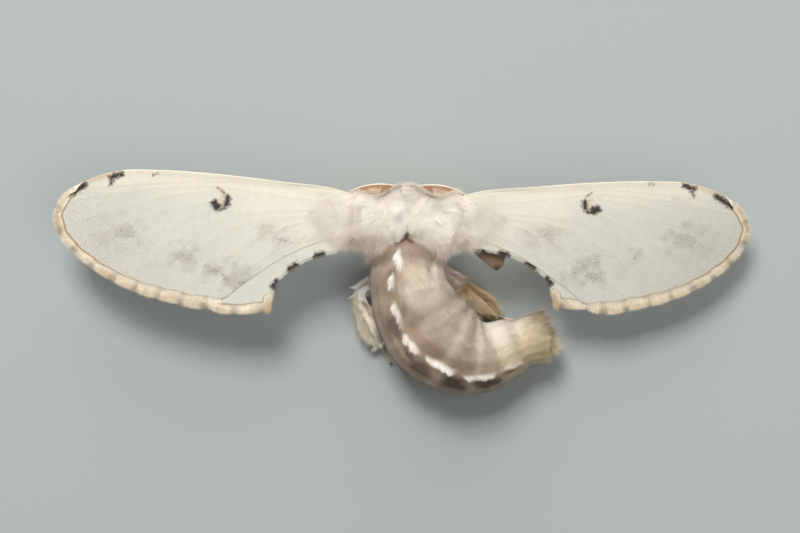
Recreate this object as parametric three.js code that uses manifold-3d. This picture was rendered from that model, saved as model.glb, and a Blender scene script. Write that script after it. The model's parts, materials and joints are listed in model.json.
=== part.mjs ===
// A white silk moth at rest on a flat surface, life size: long narrow forewings held straight out and flat,
// small hindwings tucked under them, and a stout furry abdomen that curls round to the moth's right.
//
// Millimetres, +Z up. The head looks towards -Y, the moth's left is +X and its right is -X. Each solid
// reaches out to the tips of the coat. The moth stands on its six feet and on the underside of its abdomen,
// all at z = 0.
//
// Shapes are written in the body's own frame, whose origin is on the floor under the middle of the thorax.
// One group then moves the whole moth, so that the part's origin is under the middle of its box.

import * as THREE from "three";
import { mergeVertices } from "three/addons/utils/BufferGeometryUtils.js";
import Module from "manifold-3d";

const wasm = await Module();
wasm.setup();

// ---------------------------------------------------------------- driving dimensions

const GAP = 0.06; // clearance between neighbouring pieces
const CUT = 0.08; // width of the thin cuts between abdomen segments
const WING_THICKNESS = 0.5;
const MOTH_PLACE = [-0.15, -5.08, 0]; // from the body's frame to the part's frame

const LEFT = 1; // sign of X on the moth's left
const RIGHT = -1;

// Where the forewing's plane leaves the thorax, on the left: outward, backward, height.
const WING_ROOT = { out: 2.4, back: -0.8, height: 6.0 };

// How each wing is held. Sweep turns it backwards and pitch lowers its rear edge, both in degrees.
// Droop is how far its tip sinks, in millimetres.
const WING_POSE = new Map([
  [LEFT, { sweep: 1.0, pitch: 7, droop: 0.9 }],
  [RIGHT, { sweep: 1.7, pitch: 14, droop: 2.8 }],
]);
const WING_REACH = 22; // span over which the droop builds up, as the cube of the distance
const WING_EDGE = 2.4; // how quickly a wing reaches its full thickness behind an edge

// Pairs of points on the front and rear edges, from root to tip, as outward and backward distances.
const FOREWING_RIBS = [
  { front: [2.2, -1.2], rear: [2.2, 1.2] },
  { front: [5.3, -1.72], rear: [6.0, 2.05] },
  { front: [8.3, -2.1], rear: [8.8, 3.3] },
  { front: [11.0, -2.45], rear: [11.2, 4.9] },
  { front: [13.8, -2.75], rear: [13.6, 6.55] },
  { front: [17.0, -2.97], rear: [16.6, 6.1] },
  { front: [19.8, -2.95], rear: [19.6, 5.1] },
  { front: [22.2, -2.25], rear: [22.3, 3.45] },
  { front: [23.8, -1.15], rear: [24.0, 1.6] },
  { front: [24.4, -0.1], rear: [24.44, 0.3] },
];

// The hindwing lies under the forewing, and only its rear strip and its corner tuft show behind it.
const HINDWING_RIBS = [
  { front: [2.2, -0.3], rear: [2.2, 2.1] },
  { front: [5.0, 0.3], rear: [5.2, 2.75] },
  { front: [7.6, 1.1], rear: [7.3, 3.45] },
  { front: [9.4, 1.9], rear: [9.15, 4.95] },
  { front: [10.6, 2.6], rear: [9.5, 6.65] },
  { front: [12.0, 3.5], rear: [11.2, 6.9] },
  { front: [13.5, 4.4], rear: [13.0, 6.85] },
  { front: [14.4, 5.4], rear: [14.2, 6.3] },
];
// The right hindwing is tucked further under: it is turned forwards, in degrees, and slid outwards.
const HINDWING_TUCK = new Map([
  [LEFT, { turn: 0, slide: 0 }],
  [RIGHT, { turn: 4, slide: 0.6 }],
]);

// The abdomen's axis and half sizes at stations from its waist to its tip. Side is towards the moth's right.
const ABDOMEN_STATIONS = [
  { side: 0.05, back: 1.2, height: 4.4, width: 2.2, depth: 1.9 },
  { side: 0.1, back: 3.1, height: 4.2, width: 2.7, depth: 2.4 },
  { side: 0.2, back: 4.9, height: 3.85, width: 2.9, depth: 2.65 },
  { side: 0.75, back: 6.6, height: 3.4, width: 3.2, depth: 2.95 },
  { side: 1.9, back: 8.35, height: 3.12, width: 3.45, depth: 3.14 },
  { side: 3.8, back: 9.6, height: 2.98, width: 3.25, depth: 3.05 },
  { side: 5.6, back: 9.87, height: 2.65, width: 2.78, depth: 2.7 },
  { side: 7.2, back: 9.4, height: 2.3, width: 2.25, depth: 2.25 },
  { side: 8.8, back: 8.8, height: 2.22, width: 2.2, depth: 2.2 },
  { side: 10.6, back: 8.5, height: 2.22, width: 2.3, depth: 2.1 },
];
const SEGMENT_LENGTHS = [2.25, 1.9, 2.4, 2.6, 2.0, 1.75, 1.6]; // the tail tuft takes what is left
const SEGMENT_SWELL = 0.09; // how far each segment's coat bulges between its ends
const TAIL_ROUNDING = 1.5; // length over which the tail closes in to a blunt end
const TAIL_CLOSURE = 0.8; // share of its section that it loses there

const THORAX = { centre: [0, 0.4, 4.45], radii: [3.1, 2.0, 2.5], power: 2.5 };
const COLLAR = { centre: [0, -1.35, 5.0], radii: [1.75, 0.92, 1.45], power: 2.4 };
const TEGULA = { centre: [2.85, 0.2, 5.75], radii: [1.35, 2.05, 1.05], power: 2.3 };
const HEAD = { centre: [0, -1.15, 3.3], radii: [1.4, 0.98, 1.3], power: 2.3 };
const EYE = { centre: [1.2, -1.3, 3.38], radius: 0.82 };

// An antenna runs outwards from the forehead and then back under the wing. Points on the left.
const ANTENNA_PATH = [
  [0.7, -1.68, 4.1],
  [1.4, -1.78, 4.6],
  [2.4, -1.74, 4.95],
  [3.4, -1.47, 5.05],
  [4.2, -1.0, 4.95],
  [4.85, -0.4, 4.75],
];
const ANTENNA = { halfBreadth: 0.55, halfThickness: 0.26 };

const PALP_PATH = [
  [0.34, -1.7, 2.65],
  [0.36, -2.0, 2.35],
  [0.36, -2.1, 1.9],
];
const PALP_RADIUS = 0.27;

// Joints of each leg, from the body to the toe, written as on the left. The two hind legs stand differently.
const FORE_LEG = {
  hip: [0.75, -0.6, 2.6],
  trochanter: [0.95, -1.3, 1.55],
  knee: [2.3, -1.5, 2.35],
  ankle: [2.75, -1.6, 0.55],
  toe: [4.0, -1.25, 0.17],
};
const MID_LEG = {
  hip: [0.9, 0.3, 2.4],
  trochanter: [1.25, 0.5, 1.35],
  knee: [3.35, 0.55, 2.6],
  ankle: [4.2, 1.1, 0.55],
  toe: [5.75, 1.45, 0.17],
};
const HIND_LEG_LEFT = {
  hip: [0.85, 1.6, 2.5],
  trochanter: [0.75, 3.7, 0.85],
  knee: [3.5, 5.6, 1.75],
  ankle: [1.85, 9.2, 0.6],
  toe: [0.95, 10.65, 0.17],
};
const HIND_LEG_RIGHT = {
  hip: [0.85, 1.6, 2.5],
  trochanter: [0.9, 3.3, 0.85],
  knee: [3.8, 4.7, 1.9],
  ankle: [6.3, 7.1, 0.6],
  toe: [8.15, 7.55, 0.17],
};
const LEG_RADII = {
  fore: { coxa: 0.5, femur: 0.5, tibia: 0.52, tarsus: 0.27 },
  mid: { coxa: 0.5, femur: 0.5, tibia: 0.52, tarsus: 0.27 },
  hind: { coxa: 0.48, femur: 0.66, tibia: 0.85, tarsus: 0.27 },
};
// Where along the foot it bends to the floor, and how high it is there over the toe.
const HEEL = { share: 0.3, rise: 0.08 };

// ---------------------------------------------------------------- finishes

const finish = (color, roughness) => new THREE.MeshStandardMaterial({ color, roughness, metalness: 0 });

const FINISHES = {
  wing: finish("#e4dfd2", 0.7),
  ruff: finish("#e8e1d5", 0.9),
  abdomen: finish("#bcab9c", 0.85),
  tail: finish("#b39a7b", 0.9),
  head: finish("#e6dfd2", 0.9),
  eye: finish("#241b17", 0.2),
  antenna: finish("#b5875f", 0.7),
  leg: finish("#cfc3ab", 0.9),
  foot: finish("#a98a72", 0.6),
};

// ---------------------------------------------------------------- solids

/** A closed three.js geometry as a manifold solid whose faces point out. */
function toSolid(geometry) {
  const bare = new THREE.BufferGeometry().setAttribute("position", geometry.getAttribute("position"));
  bare.setIndex(geometry.index);
  const merged = mergeVertices(bare, 1e-4);
  const triangles = [];
  for (let i = 0; i < merged.index.count; i += 3) {
    const corners = [0, 1, 2].map((k) => merged.index.getX(i + k));
    if (new Set(corners).size === 3) triangles.push(corners);
  }
  const positions = new Float32Array(merged.attributes.position.array);
  const build = (faces) =>
    new wasm.Manifold(
      new wasm.Mesh({ numProp: 3, vertProperties: positions, triVerts: new Uint32Array(faces.flat()) }),
    );
  const solid = build(triangles);
  return solid.volume() > 0 ? solid : build(triangles.map(([a, b, c]) => [a, c, b]));
}

/** A manifold solid as a three.js geometry. */
function toGeometry(solid) {
  const mesh = solid.getMesh();
  const stride = mesh.numProp;
  const positions = new Float32Array(mesh.numVert * 3);
  for (let i = 0; i < mesh.numVert; i++) {
    positions.set(mesh.vertProperties.subarray(i * stride, i * stride + 3), i * 3);
  }
  const geometry = new THREE.BufferGeometry();
  geometry.setAttribute("position", new THREE.BufferAttribute(positions, 3));
  geometry.setIndex(new THREE.BufferAttribute(new Uint32Array(mesh.triVerts), 1));
  geometry.computeVertexNormals();
  return geometry;
}

/** The solid less its neighbours. Slivers that a cut sets free are dropped. */
function carve(solid, ...neighbours) {
  const left = neighbours.reduce((body, other) => body.subtract(other), solid);
  return left.decompose().reduce((most, body) => (body.volume() > most.volume() ? body : most));
}

/** The solid with whatever is under the floor cut off, which leaves a small flat at z = 0. */
const standing = (solid) => solid.trimByPlane([0, 0, 1], 0);

/** A cylinder whose points are moved by place(along, angle, out), with along and out from 0 to 1. */
function warp(sides, steps, place) {
  const geometry = new THREE.CylinderGeometry(1, 1, 1, sides, steps);
  const points = geometry.attributes.position;
  const point = new THREE.Vector3();
  for (let i = 0; i < points.count; i++) {
    point.fromBufferAttribute(points, i);
    const moved = place(0.5 - point.y, Math.atan2(point.x, point.z), Math.hypot(point.x, point.z));
    points.setXYZ(i, moved.x, moved.y, moved.z);
  }
  return toSolid(geometry);
}

/** A soft rounded body. Power 2 is an ellipsoid, and more is boxier. Grow adds to its radii. */
function puff({ centre, radii, power }, grow = 0, sides = 16, rows = 10) {
  const geometry = new THREE.SphereGeometry(1, sides, rows);
  const points = geometry.attributes.position;
  const point = new THREE.Vector3();
  for (let i = 0; i < points.count; i++) {
    point.fromBufferAttribute(points, i);
    const spread = point.toArray().reduce((sum, part) => sum + Math.abs(part) ** power, 0);
    point.multiplyScalar(spread ** (-1 / power));
    point.multiply(new THREE.Vector3(...radii.map((radius) => radius + grow)));
    point.add(new THREE.Vector3(...centre));
    points.setXYZ(i, point.x, point.y, point.z);
  }
  return toSolid(geometry);
}

/** A smooth curve through points given as [x, y, z]. */
const curveThrough = (points) => new THREE.CatmullRomCurve3(points.map((at) => new THREE.Vector3(...at)));

/** A round limb with domed ends along a curve. RadiusAt takes the distance along it, from 0 to 1. */
function limb(curve, radiusAt, grow = 0, sides = 7, steps = 5) {
  const frames = curve.computeFrenetFrames(steps);
  return warp(sides, steps, (along, angle, out) => {
    const step = Math.round(along * steps);
    const radius = (radiusAt(along) + grow) * out;
    return curve
      .getPointAt(along)
      .addScaledVector(frames.normals[step], radius * Math.cos(angle))
      .addScaledVector(frames.binormals[step], radius * Math.sin(angle));
  });
}

/** The value of a key part-way along a list of stations, eased with a smooth curve through them all. */
function stationValue(stations, key, along) {
  const place = along * (stations.length - 1);
  const at = (i) => stations[Math.min(Math.max(i, 0), stations.length - 1)][key];
  const i = Math.min(Math.floor(place), stations.length - 2);
  const f = place - i;
  const [before, start, end, after] = [at(i - 1), at(i), at(i + 1), at(i + 2)];
  const leave = (end - before) / 2;
  const arrive = (after - start) / 2;
  return (
    start * (1 - 3 * f ** 2 + 2 * f ** 3) +
    end * (3 * f ** 2 - 2 * f ** 3) +
    leave * (f - 2 * f ** 2 + f ** 3) +
    arrive * (f ** 3 - f ** 2)
  );
}

// ---------------------------------------------------------------- wings

/** Where a point of a flat wing goes when it is held as on that side, at a depth below the forewing. */
function heldPoint(side, out, back, below) {
  const pose = WING_POSE.get(side);
  const pitch = THREE.MathUtils.degToRad(pose.pitch);
  const sweep = THREE.MathUtils.degToRad(pose.sweep);
  const span = out - WING_ROOT.out;
  const chord = back - WING_ROOT.back;
  const sink = pose.droop * (Math.max(span, 0) / WING_REACH) ** 3;
  const slope = (3 * pose.droop * Math.max(span, 0) ** 2) / WING_REACH ** 3;
  const flatSpan = span - 0.3 * sink * slope; // a wing that curves down reaches less far
  const flatChord = chord * Math.cos(pitch);
  const x = WING_ROOT.out + flatSpan * Math.cos(sweep) - flatChord * Math.sin(sweep);
  const y = WING_ROOT.back + flatSpan * Math.sin(sweep) + flatChord * Math.cos(sweep);
  const z = WING_ROOT.height - Math.max(chord, 0) * Math.sin(pitch) - sink - below;
  return new THREE.Vector3(side * x, y, z);
}

/** A wing as a sheet of even thickness between two edges. Turn is in degrees, forwards about its root. */
function wing(side, ribs, below, { turn, slide }, steps) {
  const edge = (key) => curveThrough(ribs.map((rib) => [...rib[key], 0]));
  const front = edge("front");
  const rear = edge("rear");
  const pivot = new THREE.Vector3(WING_ROOT.out, WING_ROOT.back, 0);
  const axis = new THREE.Vector3(0, 0, 1);
  return warp(12, steps, (along, angle, out) => {
    const chord = 0.5 - 0.5 * out * Math.cos(angle);
    const point = front.getPoint(along).lerp(rear.getPoint(along), chord);
    point.sub(pivot).applyAxisAngle(axis, THREE.MathUtils.degToRad(-turn)).add(pivot);
    point.x += slide;
    const fullness = THREE.MathUtils.clamp(WING_EDGE * Math.sin(angle), -1, 1) * out;
    return heldPoint(side, point.x, point.y, below - (fullness * WING_THICKNESS) / 2);
  });
}

const forewing = (side) => wing(side, FOREWING_RIBS, 0, { turn: 0, slide: 0 }, 21);
const hindwing = (side) => wing(side, HINDWING_RIBS, WING_THICKNESS + GAP, HINDWING_TUCK.get(side), 12);

// ---------------------------------------------------------------- abdomen

const abdomenAxis = curveThrough(ABDOMEN_STATIONS.map((at) => [RIGHT * at.side, at.back, at.height]));
const segmentEnds = [0];
for (const length of SEGMENT_LENGTHS) segmentEnds.push(segmentEnds.at(-1) + length);
segmentEnds.push(abdomenAxis.getLength());

/** How far through its own segment a place on the abdomen is, from 0 to 1. */
function throughSegment(distance) {
  const i = Math.max(segmentEnds.findLastIndex((end) => end <= distance), 0);
  const last = segmentEnds.length - 2;
  const start = segmentEnds[Math.min(i, last)];
  return (distance - start) / (segmentEnds[Math.min(i, last) + 1] - start);
}

/** The whole abdomen, out to the tips of its coat. */
function abdomen(grow = 0) {
  const up = new THREE.Vector3(0, 0, 1);
  return warp(18, 32, (along, angle, out) => {
    const station = abdomenAxis.getUtoTmapping(along);
    const centre = abdomenAxis.getPoint(station);
    const forward = abdomenAxis.getTangent(station);
    const across = new THREE.Vector3().crossVectors(forward, up).normalize();
    const distance = along * abdomenAxis.getLength();
    const swell = SEGMENT_SWELL * Math.sin(Math.PI * throughSegment(distance));
    const width = stationValue(ABDOMEN_STATIONS, "width", station) + swell + grow;
    const depth = stationValue(ABDOMEN_STATIONS, "depth", station) + swell + grow;
    const closing = Math.max(0, 1 + (distance - abdomenAxis.getLength()) / TAIL_ROUNDING);
    const reach = out * Math.sqrt(1 - TAIL_CLOSURE * closing ** 2);
    return centre
      .addScaledVector(across, reach * width * Math.cos(angle))
      .addScaledVector(up, reach * depth * Math.sin(angle));
  });
}

/** The abdomen parted into its segments by thin cuts across its axis. */
function abdomenSegments(whole) {
  const cuts = segmentEnds.slice(1, -1).map((distance) => {
    const along = distance / abdomenAxis.getLength();
    const normal = abdomenAxis.getTangentAt(along).setZ(0).normalize();
    return { normal, offset: normal.dot(abdomenAxis.getPointAt(along)) };
  });
  const behind = (solid, { normal, offset }) => solid.trimByPlane(normal.toArray(), offset + CUT / 2);
  const ahead = (solid, { normal, offset }) =>
    solid.trimByPlane(normal.clone().negate().toArray(), CUT / 2 - offset);
  return segmentEnds.slice(0, -1).map((_, i) => {
    const rear = i > 0 ? behind(whole, cuts[i - 1]) : whole;
    return i < cuts.length ? ahead(rear, cuts[i]) : rear;
  });
}

// ---------------------------------------------------------------- head and feelers

const mirrored = (point, side) => [side * point[0], point[1], point[2]];
const eyeBall = (side, grow = 0) =>
  puff({ centre: mirrored(EYE.centre, side), radii: Array(3).fill(EYE.radius), power: 2 }, grow, 10, 7);

/** One feathery antenna as a flat blade, widest in the middle. */
function antenna(side) {
  const curve = curveThrough(ANTENNA_PATH.map((point) => mirrored(point, side)));
  const up = new THREE.Vector3(0, 0, 1);
  return warp(8, 9, (along, angle, out) => {
    const forward = curve.getTangentAt(along);
    const across = new THREE.Vector3().crossVectors(forward, up).normalize();
    const lean = new THREE.Vector3().addScaledVector(across, -0.55 * side).addScaledVector(up, -0.83);
    const flat = new THREE.Vector3().crossVectors(lean, forward).normalize();
    const breadth = ANTENNA.halfBreadth * (0.5 + 0.5 * Math.sin(Math.PI * Math.min(1, along + 0.12)));
    return curve
      .getPointAt(along)
      .addScaledVector(lean, out * breadth * Math.cos(angle))
      .addScaledVector(flat, out * ANTENNA.halfThickness * Math.sin(angle));
  });
}

/** A short palp hanging in front of the mouth. */
function palp(side) {
  const curve = curveThrough(PALP_PATH.map((point) => mirrored(point, side)));
  return limb(curve, () => PALP_RADIUS, 0, 6, 3);
}

// ---------------------------------------------------------------- legs

/** The radius along a limb that is even in the middle and rounded in at both ends. */
const domed = (radius) => (along) => radius * Math.max(0.55, Math.sqrt(1 - Math.abs(2 * along - 1) ** 3));

/** The radius along a tibia, whose long hairs make it widest near the middle. */
const plumed = (radius) => (along) =>
  radius * Math.max(0.45, Math.sin(Math.PI * (0.12 + 0.76 * along ** 0.8)));

/** The four pieces of a leg, each clear of the one before it and of the bodies. */
function legPieces(side, leg, radii, bodies) {
  const point = (name) => new THREE.Vector3(...mirrored(leg[name], side));
  const run = (from, to) => new THREE.LineCurve3(point(from), point(to));
  const heel = point("ankle").lerp(point("toe"), HEEL.share).setZ(leg.toe[2] + HEEL.rise);
  const sole = new THREE.CatmullRomCurve3([point("ankle"), heel, point("toe")]);
  const coxa = (grow) => limb(run("hip", "trochanter"), domed(radii.coxa), grow);
  const femur = (grow) => limb(run("trochanter", "knee"), domed(radii.femur), grow);
  const tibia = (grow) => limb(run("knee", "ankle"), plumed(radii.tibia), grow);
  const tarsus = limb(sole, domed(radii.tarsus), 0, 6, 6);
  return {
    coxa: standing(carve(coxa(0), ...bodies)),
    femur: standing(carve(femur(0), coxa(GAP), ...bodies)),
    tibia: standing(carve(tibia(0), femur(GAP), ...bodies)),
    tarsus: standing(carve(tarsus, tibia(GAP), ...bodies)),
  };
}

// ---------------------------------------------------------------- the moth

const moth = new THREE.Group();
moth.position.set(...MOTH_PLACE);

/** Adds one named mesh to the moth. */
function add(name, solid, material) {
  const mesh = new THREE.Mesh(toGeometry(solid), material);
  mesh.name = name;
  moth.add(mesh);
}

const SIDES = [
  { side: LEFT, word: "left" },
  { side: RIGHT, word: "right" },
];
const tegulaOn = (side, grow = 0) => puff({ ...TEGULA, centre: mirrored(TEGULA.centre, side) }, grow, 12, 7);
const wholeAbdomen = abdomen();
const abdomenRoom = abdomen(GAP);
const thoraxRoom = puff(THORAX, GAP);
const headRoom = puff(HEAD, GAP);

add("thorax", carve(puff(THORAX), abdomenRoom), FINISHES.ruff);
add("collar", carve(puff(COLLAR), thoraxRoom, headRoom), FINISHES.ruff);
add("head", carve(puff(HEAD), thoraxRoom, eyeBall(LEFT, GAP), eyeBall(RIGHT, GAP)), FINISHES.head);

for (const { side, word } of SIDES) {
  const tegulaRoom = tegulaOn(side, GAP);
  const collarRoom = puff(COLLAR, GAP);
  add(`eye_${word}`, carve(eyeBall(side), thoraxRoom), FINISHES.eye);
  add(`palp_${word}`, carve(palp(side), headRoom), FINISHES.head);
  const bodyRoom = [headRoom, collarRoom, thoraxRoom, tegulaRoom];
  add(`antenna_${word}`, carve(antenna(side), ...bodyRoom), FINISHES.antenna);
  add(`tegula_${word}`, carve(tegulaOn(side), thoraxRoom, collarRoom), FINISHES.ruff);
  add(`forewing_${word}`, carve(forewing(side), thoraxRoom, tegulaRoom, collarRoom), FINISHES.wing);
  add(`hindwing_${word}`, carve(hindwing(side), thoraxRoom, tegulaRoom, abdomenRoom), FINISHES.wing);
}

abdomenSegments(wholeAbdomen).forEach((piece, i, all) => {
  const isTail = i === all.length - 1;
  add(isTail ? "tail_tuft" : `abdomen_${i + 1}`, standing(piece), isTail ? FINISHES.tail : FINISHES.abdomen);
});

for (const { side, word } of SIDES) {
  const legs = {
    fore: FORE_LEG,
    mid: MID_LEG,
    hind: side === LEFT ? HIND_LEG_LEFT : HIND_LEG_RIGHT,
  };
  for (const [pair, leg] of Object.entries(legs)) {
    const pieces = legPieces(side, leg, LEG_RADII[pair], [thoraxRoom, headRoom, abdomenRoom]);
    for (const [piece, solid] of Object.entries(pieces)) {
      add(`${pair}_${piece}_${word}`, solid, piece === "tarsus" ? FINISHES.foot : FINISHES.leg);
    }
  }
}

export default moth;
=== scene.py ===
"""A white silk moth at rest, life size, dressed over its solid model.

The moth stands on the floor at z = 0 with its head towards -Y, its left wing towards +X and its abdomen
curled to its right. One skin stands for all its flesh and carries the coat, which is cut into strands that
follow its lie. The wings, eyes, antennae and feet are pieces of their own.

Sizes are in millimetres in the body's own frame, whose origin is on the floor under the middle of the thorax.
"Out" is the distance from the midline, "back" the distance towards the tail.
"""

import json
import logging
import math
from collections.abc import Callable
from dataclasses import dataclass
from enum import Enum
from functools import partial

import bmesh
import bpy
import numpy as np
from bpy.types import Material, Mesh, Node, NodeOutputs, NodeSocket, NodeTree, Object
from mathutils import Matrix, Vector
from mathutils.bvhtree import BVHTree

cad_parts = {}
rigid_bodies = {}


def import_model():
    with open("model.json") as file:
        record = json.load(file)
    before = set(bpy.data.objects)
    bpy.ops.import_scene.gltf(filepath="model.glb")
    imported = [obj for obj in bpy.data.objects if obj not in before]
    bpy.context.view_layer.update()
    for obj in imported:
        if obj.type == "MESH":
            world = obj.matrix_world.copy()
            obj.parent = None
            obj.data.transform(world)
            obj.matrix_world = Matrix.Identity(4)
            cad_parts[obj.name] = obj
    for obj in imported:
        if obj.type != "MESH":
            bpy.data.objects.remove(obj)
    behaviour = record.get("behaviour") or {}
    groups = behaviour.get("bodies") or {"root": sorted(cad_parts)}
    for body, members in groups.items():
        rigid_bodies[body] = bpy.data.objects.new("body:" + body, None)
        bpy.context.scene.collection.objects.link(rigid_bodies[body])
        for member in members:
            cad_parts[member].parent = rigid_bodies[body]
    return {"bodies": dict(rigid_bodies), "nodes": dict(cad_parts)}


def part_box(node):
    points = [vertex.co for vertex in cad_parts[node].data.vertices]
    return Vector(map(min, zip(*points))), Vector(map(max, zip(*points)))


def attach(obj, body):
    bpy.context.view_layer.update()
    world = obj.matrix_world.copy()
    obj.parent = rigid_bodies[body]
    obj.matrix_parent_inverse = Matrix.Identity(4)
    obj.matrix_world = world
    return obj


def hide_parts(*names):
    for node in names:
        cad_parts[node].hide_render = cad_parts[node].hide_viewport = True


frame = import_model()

log = logging.getLogger("moth")

MM = 0.001
SEED = 17
BODY = "root"
UV_NAME = "OFBake"
TUFT_PATCH = 0.003  # side of a strand's patch on the UV map
CROWN = 6.8 * MM  # how high the hair reaches before it bends over
BENT_SHARE = 0.35  # how much of its reach above that is left
FLOOR_GAP = 0.01 * MM  # between the lowest hair and the floor
COLLAR_FRONT = -2.27  # how far back the collar's front is in the body's frame

Rows = np.ndarray  # one row or value for each point
NodeAdder = Callable[..., Node]


class Side(Enum):
    """A side of the moth, with the sign of X on it."""

    LEFT = 1
    RIGHT = -1

    @property
    def word(self) -> str:
        """The side's name as node names have it."""
        return self.name.lower()

    def place(self, spots: tuple) -> Rows:
        """Rows in the body's frame, from places on this side as (out, back, up)."""
        return np.array(spots) * (self.value, 1, 1)


# ---------------------------------------------------------------- small helpers


def linear(hex_colour: str, alpha: float = 1.0) -> tuple[float, float, float, float]:
    """Turns an sRGB colour into linear light.

    Args:
        hex_colour: The colour as "#rrggbb".
        alpha: Its opacity.

    Returns:
        Red, green, blue and alpha.
    """
    parts = [int(hex_colour[i : i + 2], 16) / 255 for i in (1, 3, 5)]
    light = [c / 12.92 if c <= 0.04045 else ((c + 0.055) / 1.055) ** 2.4 for c in parts]
    return (*light, alpha)


def shade(hex_colour: str) -> Rows:
    """The linear red, green and blue of an sRGB colour."""
    return np.array(linear(hex_colour)[:3])


def smooth(low: float, high: float, values: Rows) -> Rows:
    """Eases from 0 to 1 as the values go from low to high."""
    t = np.clip((np.asarray(values, float) - low) / (high - low), 0, 1)
    return t * t * (3 - 2 * t)


def blend(colours: Rows, *layers: tuple) -> Rows:
    """Mixes colours towards others, one after another.

    Args:
        colours: One row of red, green and blue for each point, or one for all of them.
        layers: For each, its colour as "#rrggbb" or rows, and how much of it each point takes, from 0 to 1.

    Returns:
        The mixed rows.
    """
    for other, share in layers:
        part = np.clip(share, 0, 1)[:, None]
        colours = colours * (1 - part) + (shade(other) if isinstance(other, str) else other) * part
    return colours


def unit(vectors: Rows) -> Rows:
    """Rows scaled to length 1."""
    return vectors / np.maximum(np.linalg.norm(vectors, axis=-1, keepdims=True), 1e-9)


def smooth_curve(points: Rows, at: Rows) -> Rows:
    """A centripetal Catmull-Rom curve through points.

    Args:
        points: The points, one row each.
        at: Places along the curve from 0 to 1, evenly shared between the spans.

    Returns:
        One row for each place.
    """
    knots = np.vstack([2 * points[0] - points[1], points, 2 * points[-1] - points[-2]])
    spans = len(points) - 1
    place = np.clip(np.asarray(at, float), 0, 1) * spans
    i = np.minimum(place.astype(int), spans - 1)
    f = (place - i)[:, None]
    a, b, c, d = (knots[i + k] for k in range(4))
    ab, bc, cd = (np.sqrt(np.linalg.norm(q - p, axis=1))[:, None] for p, q in ((a, b), (b, c), (c, d)))
    leave = ((b - a) / ab - (c - a) / (ab + bc) + (c - b) / bc) * bc
    arrive = ((c - b) / bc - (d - b) / (bc + cd) + (d - c) / cd) * bc
    return (
        (2 * f**3 - 3 * f**2 + 1) * b
        + (f**3 - 2 * f**2 + f) * leave
        + (3 * f**2 - 2 * f**3) * c
        + (f**3 - f**2) * arrive
    )


def lattice(points: Rows, cell: float, seed: int) -> Rows:
    """Smooth random values over space, for changes that the solid shape itself follows.

    Args:
        points: Rows of coordinates.
        cell: The size of one random cell, in the points' own unit.
        seed: Which field of random values.

    Returns:
        One value from -1 to 1 for each row.
    """
    scaled = points / cell
    base = np.floor(scaled).astype(np.int64)
    ease = smooth(0, 1, scaled - base)
    total = np.zeros(len(points))
    for corner in np.ndindex(*(2,) * points.shape[1]):
        key = base + np.array(corner)
        mixed = (key * np.array([73856093, 19349663, 83492791][: points.shape[1]])).sum(1) + seed * 2654435761
        mixed = (mixed ^ (mixed >> 13)) * 1274126177
        value = ((mixed ^ (mixed >> 16)) & 0xFFFF) / 0x7FFF - 1
        weight = np.prod(np.where(np.array(corner) == 1, ease, 1 - ease), axis=1)
        total += weight * value
    return total


def trace(points: Rows, path: Rows) -> tuple[Rows, Rows]:
    """Finds each flat point's nearest place on a path.

    Args:
        points: Rows of two coordinates.
        path: The path's corners.

    Returns:
        The distance to that place, and how far along the path it is.
    """
    gap = np.full(len(points), np.inf)
    place = np.zeros(len(points))
    run = 0.0
    for start, end in zip(path[:-1], path[1:]):
        span = math.dist(start, end)
        share = np.clip(((points - start) @ (end - start)) / span**2, 0, 1)
        away = np.linalg.norm(points - start - share[:, None] * (end - start), axis=1)
        place = np.where(away < gap, run + share * span, place)
        gap = np.minimum(gap, away)
        run += span
    return gap, place


def add_node(tree: NodeTree, kind: str, links: dict | tuple = (), **settings: object) -> Node:
    """Adds a node to a tree.

    Args:
        tree: The tree.
        kind: The node's type.
        links: For each input, in order or by its name or number, its value, its colour as "#rrggbb", or the
            socket or node that feeds it. A node feeds it from the first of its outputs that is in use.
        settings: The node's own properties.

    Returns:
        The new node.
    """
    node = tree.nodes.new(kind)
    for key, value in settings.items():
        setattr(node, key, value)
    for key, value in links.items() if isinstance(links, dict) else enumerate(links):
        if isinstance(value, Node):
            value = next(socket for socket in value.outputs if socket.enabled)
        if isinstance(value, NodeSocket):
            tree.links.new(value, node.inputs[key])
        else:
            colour = isinstance(value, str) and value.startswith("#")
            node.inputs[key].default_value = linear(value) if colour else value
    return node


def store(mesh: Mesh, **fields: Rows) -> None:
    """Keeps values, vectors or colours for each vertex under their names."""
    kinds = {1: ("FLOAT", "value"), 3: ("FLOAT_VECTOR", "vector"), 4: ("FLOAT_COLOR", "color")}
    for name, values in fields.items():
        kind, slot = kinds[1 if values.ndim == 1 else values.shape[1]]
        attribute = mesh.attributes.get(name) or mesh.attributes.new(name, kind, "POINT")
        attribute.data.foreach_set(slot, np.ascontiguousarray(values, np.float32).ravel())


def store_tint(mesh: Mesh, colours: Rows) -> None:
    """Keeps each vertex's own colour as "tint"."""
    store(mesh, tint=np.hstack([np.clip(colours, 0, 1), np.ones((len(colours), 1))]))


def positions(mesh: Mesh) -> Rows:
    """A mesh's vertices as rows, in metres."""
    values = np.empty(len(mesh.vertices) * 3, np.float32)
    mesh.vertices.foreach_get("co", values)
    return values.reshape(-1, 3).astype(float)


def normals(mesh: Mesh) -> Rows:
    """A mesh's vertex normals as rows."""
    values = np.empty(len(mesh.vertices) * 3, np.float32)
    mesh.vertex_normals.foreach_get("vector", values)
    return values.reshape(-1, 3).astype(float)


def move_vertices(mesh: Mesh, points: Rows) -> None:
    """Puts a mesh's vertices at these places, in metres."""
    mesh.vertices.foreach_set("co", np.ascontiguousarray(points, np.float32).ravel())
    mesh.update()


def new_object(name: str, mesh: Mesh) -> Object:
    """A new object in the scene that shows a mesh."""
    made = bpy.data.objects.new(name, mesh)
    bpy.context.scene.collection.objects.link(made)
    return made


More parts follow.
